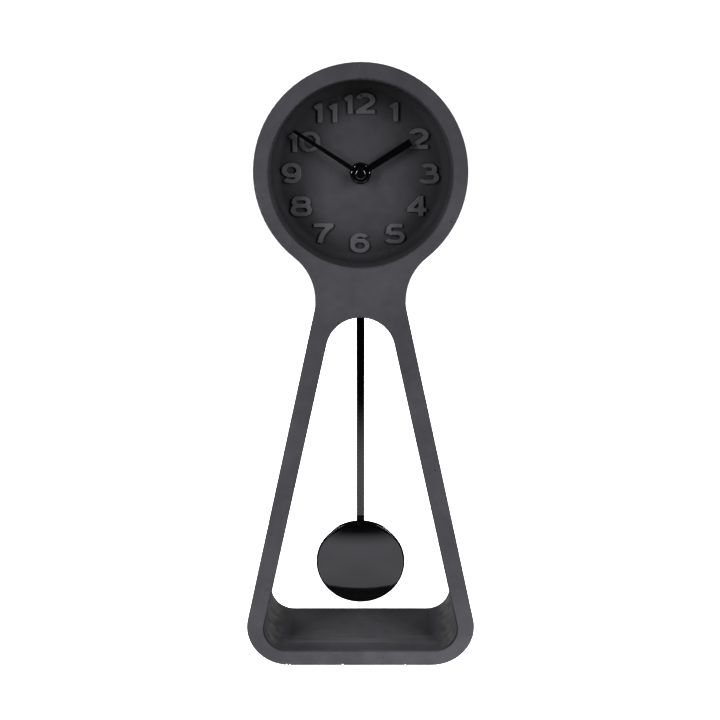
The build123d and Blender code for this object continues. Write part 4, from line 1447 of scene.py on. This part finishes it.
# %% [markdown]
# ## The movement from behind
#
# The rear cover keeps the construction model's shape. What is added is what the mould gives
# such a cover: a round collar about the setting knob with two arcs and arrowheads for the way
# to turn it, a plus and a minus beside the cell's bay, a raised frame, and four snap tabs
# over the parting line. The knob is turned with a chamfer and a dished face, and sixteen
# round grooves are cut in its side for the thumb. Its shaft and gear are sawn off a copy of
# the construction model's knob. The lever that the pendulum hangs on is moulded as well, so
# a copy of it gets rounded edges.

# %% Turn the knob's collar
cover_low, cover_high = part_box("movement_rear_cover")
cover_face = cover_high.y
mark_rise = 0.5 * MM
mark_root = cover_face - 0.2 * MM
mark_top = cover_face + mark_rise
knob_low, knob_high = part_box("setting_knob")
knob_centre = Vector((middle("setting_knob").x, 0, middle("setting_knob").z))
knob_radius = (knob_high.x - knob_low.x) / 2
collar_inner, collar_outer = knob_radius + 0.6 * MM, knob_radius + 1.4 * MM
collar_slope = 0.15 * MM
collar = turned(
    "knob_collar", knob_centre,
    [
        (collar_inner, mark_root),
        (collar_outer, mark_root),
        (collar_outer - collar_slope, mark_top),
        (collar_inner + collar_slope, mark_top),
        (collar_inner, mark_root),
    ],
)
print("collar", round(2 * collar_outer / MM, 1), "mm across")

# %% Tools for raised marks


def mark_bar(place, width, height):
    """A raised bar on the cover's face, centred on a place."""
    return block(
        "mark_bar",
        (place[0] - width / 2, mark_root, place[1] - height / 2),
        (place[0] + width / 2, mark_top, place[1] + height / 2),
    )


def arc_arrow(centre, radius, start, turn):
    """A raised arc with an arrowhead, for the way to turn the knob."""
    width, first_bit = 0.7 * MM, 0.01 * MM
    side = 1 if turn > 0 else -1
    outward = Vector((cos(radians(start)), 0, sin(radians(start))))
    ahead = Vector((-outward.z, 0, outward.x)) * side
    first = centre + outward * radius
    tip = centre + Matrix.Rotation(-radians(turn), 3, "Y") @ (outward * radius)
    arc = mark_bar((centre.x + radius, centre.z), width, first_bit)
    alone(arc)
    turn_about(radians(start), centre)
    settle(arc)
    select_vertices(arc, lambda place: (place - first).dot(ahead) > 0)
    bpy.ops.mesh.spin(steps=16, angle=radians(turn), center=centre, axis=(0, 1, 0))
    bpy.ops.object.mode_set(mode="OBJECT")
    bpy.ops.object.select_all(action="DESELECT")
    bpy.ops.mesh.primitive_cylinder_add(
        vertices=3, radius=1.6 * width, depth=mark_top - mark_root,
        location=(tip.x, (mark_root + mark_top) / 2, tip.z),
        rotation=(pi / 2, 0, 0),
    )
    head = settle(bpy.context.object)
    turn_about(radians(start + turn + 90 * side - 90), tip)
    return [arc, settle(head)]


# %% Raise the marks by the cell and the knob
bay_marks = cell_low.z - 3.4 * MM
mark_reach = 19 * MM
sign_size, sign_line = 3.2 * MM, 0.7 * MM
marks = [
    collar,
    mark_bar((mark_reach, bay_marks), sign_size, sign_line),
    mark_bar((mark_reach, bay_marks), sign_line, sign_size),
    mark_bar((-mark_reach, bay_marks), sign_size, sign_line),
]
arrow_radius = collar_outer + 1.5 * MM
marks += arc_arrow(knob_centre, arrow_radius, start=20, turn=55)
marks += arc_arrow(knob_centre, arrow_radius, start=160, turn=-55)
print("marks by the cell and the knob:", len(marks))

# %% Raise the frame and the snap tabs
frame_middle = (-11.5 * MM, knob_centre.z + 6 * MM)
frame_width, frame_height, frame_line = 22 * MM, 17 * MM, 0.7 * MM
for side in (-1, 1):
    upright = (frame_middle[0] + side * frame_width / 2, frame_middle[1])
    level_bar = (frame_middle[0], frame_middle[1] + side * frame_height / 2)
    marks.append(mark_bar(upright, frame_line, frame_height + frame_line))
    marks.append(mark_bar(level_bar, frame_width + frame_line, frame_line))
snap_width, snap_stand, snap_rise = 5 * MM, 0.5 * MM, 1.6 * MM
snap_heights = (cover_low.z + 33 * MM, cover_high.z - 21 * MM)
for side in (-1, 1):
    for height in snap_heights:
        edge = side * cover_high.x
        inner, outer = sorted((edge - side * snap_stand, edge + side * snap_stand))
        marks.append(block(
            "snap_tab",
            (inner, cover_low.y - snap_rise, height - snap_width / 2),
            (outer, cover_low.y + snap_rise, height + snap_width / 2),
        ))
cover_marks = join(marks, "cover_marks")
soften(cover_marks, 0.1 * MM)
finish_piece(cover_marks, "root", case_plastic)
print("cover marks:", len(marks))

# %% Turn the knob
knob_front = cover_face + 0.3 * MM
chamfer, dish, dish_rim = 0.4 * MM, 0.6 * MM, 1.1 * MM
grip = turned(
    "knob_grip", knob_centre,
    [
        (0, knob_front),
        (knob_radius - chamfer / 2, knob_front),
        (knob_radius, knob_front + chamfer / 2),
        (knob_radius, knob_high.y - chamfer),
        (knob_radius - chamfer, knob_high.y),
        (knob_radius - dish_rim, knob_high.y),
        (knob_radius - dish_rim - dish, knob_high.y - dish),
        (0, knob_high.y - dish),
    ],
)
print("knob", round(2 * knob_radius / MM, 1), "mm across")

# %% Cut the knob's grooves and add its shaft
groove_count, groove_radius = 16, 0.6 * MM
cutters = []
for step in range(groove_count):
    angle = 2 * pi * step / groove_count
    place = knob_centre + Vector((cos(angle), 0, sin(angle))) * knob_radius
    bpy.ops.object.select_all(action="DESELECT")
    bpy.ops.mesh.primitive_cylinder_add(
        vertices=20, radius=groove_radius, depth=4 * (knob_high.y - knob_front),
        location=(place.x, knob_high.y, place.z), rotation=(pi / 2, 0, 0),
    )
    cutters.append(settle(bpy.context.object))
combine_solids(grip, "DIFFERENCE", join(cutters, "grooves"))
soften(grip, 0.08 * MM, angle=28)
shaft = merged_copy("setting_knob", "knob_shaft")
bpy.ops.mesh.bisect(
    plane_co=(0, knob_front - 0.02 * MM, 0), plane_no=(0, 1, 0), clear_outer=True, use_fill=True
)
bpy.ops.object.mode_set(mode="OBJECT")
knob = join([grip, shaft], "knob_grip")
finish_piece(knob, "knob", case_plastic, smooth=25)
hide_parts("setting_knob")
print("knob with", groove_count, "grooves")

# %% Round the lever
lever = softened_copy("pendulum_lever", "lever_moulding", 0.16 * MM)
finish_piece(lever, "pendulum", gear_plastic)
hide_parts("pendulum_lever")
print("lever with", len(lever.data.polygons), "faces")

# %% [markdown]
# ## Felt pads
#
# Four round pads lift the casting off the furniture. One is turned with a rolled upper edge
# and copied to the four places.

# %% Punch the pads
pads_low, pads_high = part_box("foot_pads")
pad_radius = 7 * MM
pad_roll = 0.35 * MM
pad_height = pads_high.z - pads_low.z
first_pad = turned(
    "felt_pad", (0, 0, 0),
    [(0, 0), (pad_radius - pad_roll / 2, 0), (pad_radius, pad_roll)]
    + arc_outline((pad_radius - pad_roll, pad_height - pad_roll), pad_roll, 0, 90, 4)
    + [(0, pad_height)],
    axis="Z",
    steps=48,
)
pad_row = []
for side_x in (-1, 1):
    for side_y in (-1, 1):
        pad = duplicate(first_pad, "felt_pad")
        pad.location = (
            side_x * (pads_high.x - pad_radius), side_y * (pads_high.y - pad_radius), 0
        )
        pad_row.append(settle(pad))
bpy.data.objects.remove(first_pad)
pads = join(pad_row, "felt_pads")
finish_piece(pads, "root", felt)
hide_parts("foot_pads")
print("pads stand", round(2 * (pads_high.x - pad_radius) / MM), "mm apart")

# %% [markdown]
# ## Wear on the casting
#
# Concrete never leaves its mould whole. A few crumbs broke out of the lower front edge, and
# some larger air bubbles opened on the floor bar's upper side and on the front face. Each is a
# small lump, half sunk in the surface and then cut out of a copy of the casting. One sphere is
# pushed out of true by noise, and its copies are turned and scaled each in its own way, so no
# two bites look the same. The lumps carry a paler concrete, and the cut leaves it on the
# broken faces.

# %% Find where the chips and the bubbles are
front_y = cad_size[0][1] / MM
base_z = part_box("cast_body")[0].z / MM
bar_thickness = 11
bar_top = base_z + bar_thickness
# Each bite has its place and its reach along each axis, in millimetres.
bites = [
    ((-51.2, front_y + 0.8, base_z + 0.1), (0.8, 2.4, 1.5)),
    ((-48.9, front_y + 0.6, base_z), (0.6, 2.2, 1.4)),
    ((-12.4, front_y + 0.8, base_z + 0.1), (0.8, 2.4, 1.5)),
    ((31.0, front_y + 0.5, base_z), (0.6, 1.8, 1.3)),
    ((61.5, -18.0, bar_top), (0.55, 0.55, 0.4)),
    ((58.0, -9.5, bar_top), (0.4, 0.4, 0.35)),
    ((49.0, -24.0, bar_top), (0.35, 0.35, 0.3)),
    ((-50.5, -14.0, bar_top), (0.45, 0.45, 0.35)),
    ((-22.0, -21.0, bar_top), (0.3, 0.3, 0.25)),
    ((-8.0, front_y, 281.0), (0.35, 0.3, 0.35)),
    ((17.0, front_y, 272.0), (0.3, 0.3, 0.3)),
    ((-63.5, front_y, 60.0), (0.4, 0.3, 0.4)),
]
print("bites:", len(bites))

# %% Shape a lump for each bite
lump_noise = bpy.data.textures.new("lump_noise", "CLOUDS")
lump_noise.noise_scale = 0.5
bpy.ops.object.select_all(action="DESELECT")
bpy.ops.mesh.primitive_ico_sphere_add(subdivisions=3, radius=1)
first_lump = bpy.context.object
modify(first_lump, "DISPLACE", texture=lump_noise, texture_coords="LOCAL", strength=0.4)
lump_copies = []
for place, size in bites:
    lump = duplicate(first_lump, "lump")
    lump.rotation_euler = (place[0], 0, place[2])
    bpy.ops.object.transform_apply(location=False, rotation=True, scale=False)
    lump.location = Vector(place) * MM
    lump.scale = Vector(size) * MM
    lump_copies.append(settle(lump))
bpy.data.objects.remove(first_lump)
lumps = join(lump_copies, "lumps")
lumps.data.materials.append(broken_concrete)
print("lumps shaped:", len(lump_copies))

# %% Break them out of the casting
casting = merged_copy("cast_body", "worn_casting")
bpy.ops.object.mode_set(mode="OBJECT")
finish_piece(casting, "root", concrete)
combine_solids(casting, "DIFFERENCE", lumps)
alone(casting)
bpy.ops.object.shade_smooth_by_angle(angle=radians(smooth_angle))
modify(casting, "WEIGHTED_NORMAL", keep_sharp=True, weight=100)
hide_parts("cast_body")
print("casting with", len(bites), "bites,", len(casting.data.polygons), "faces")
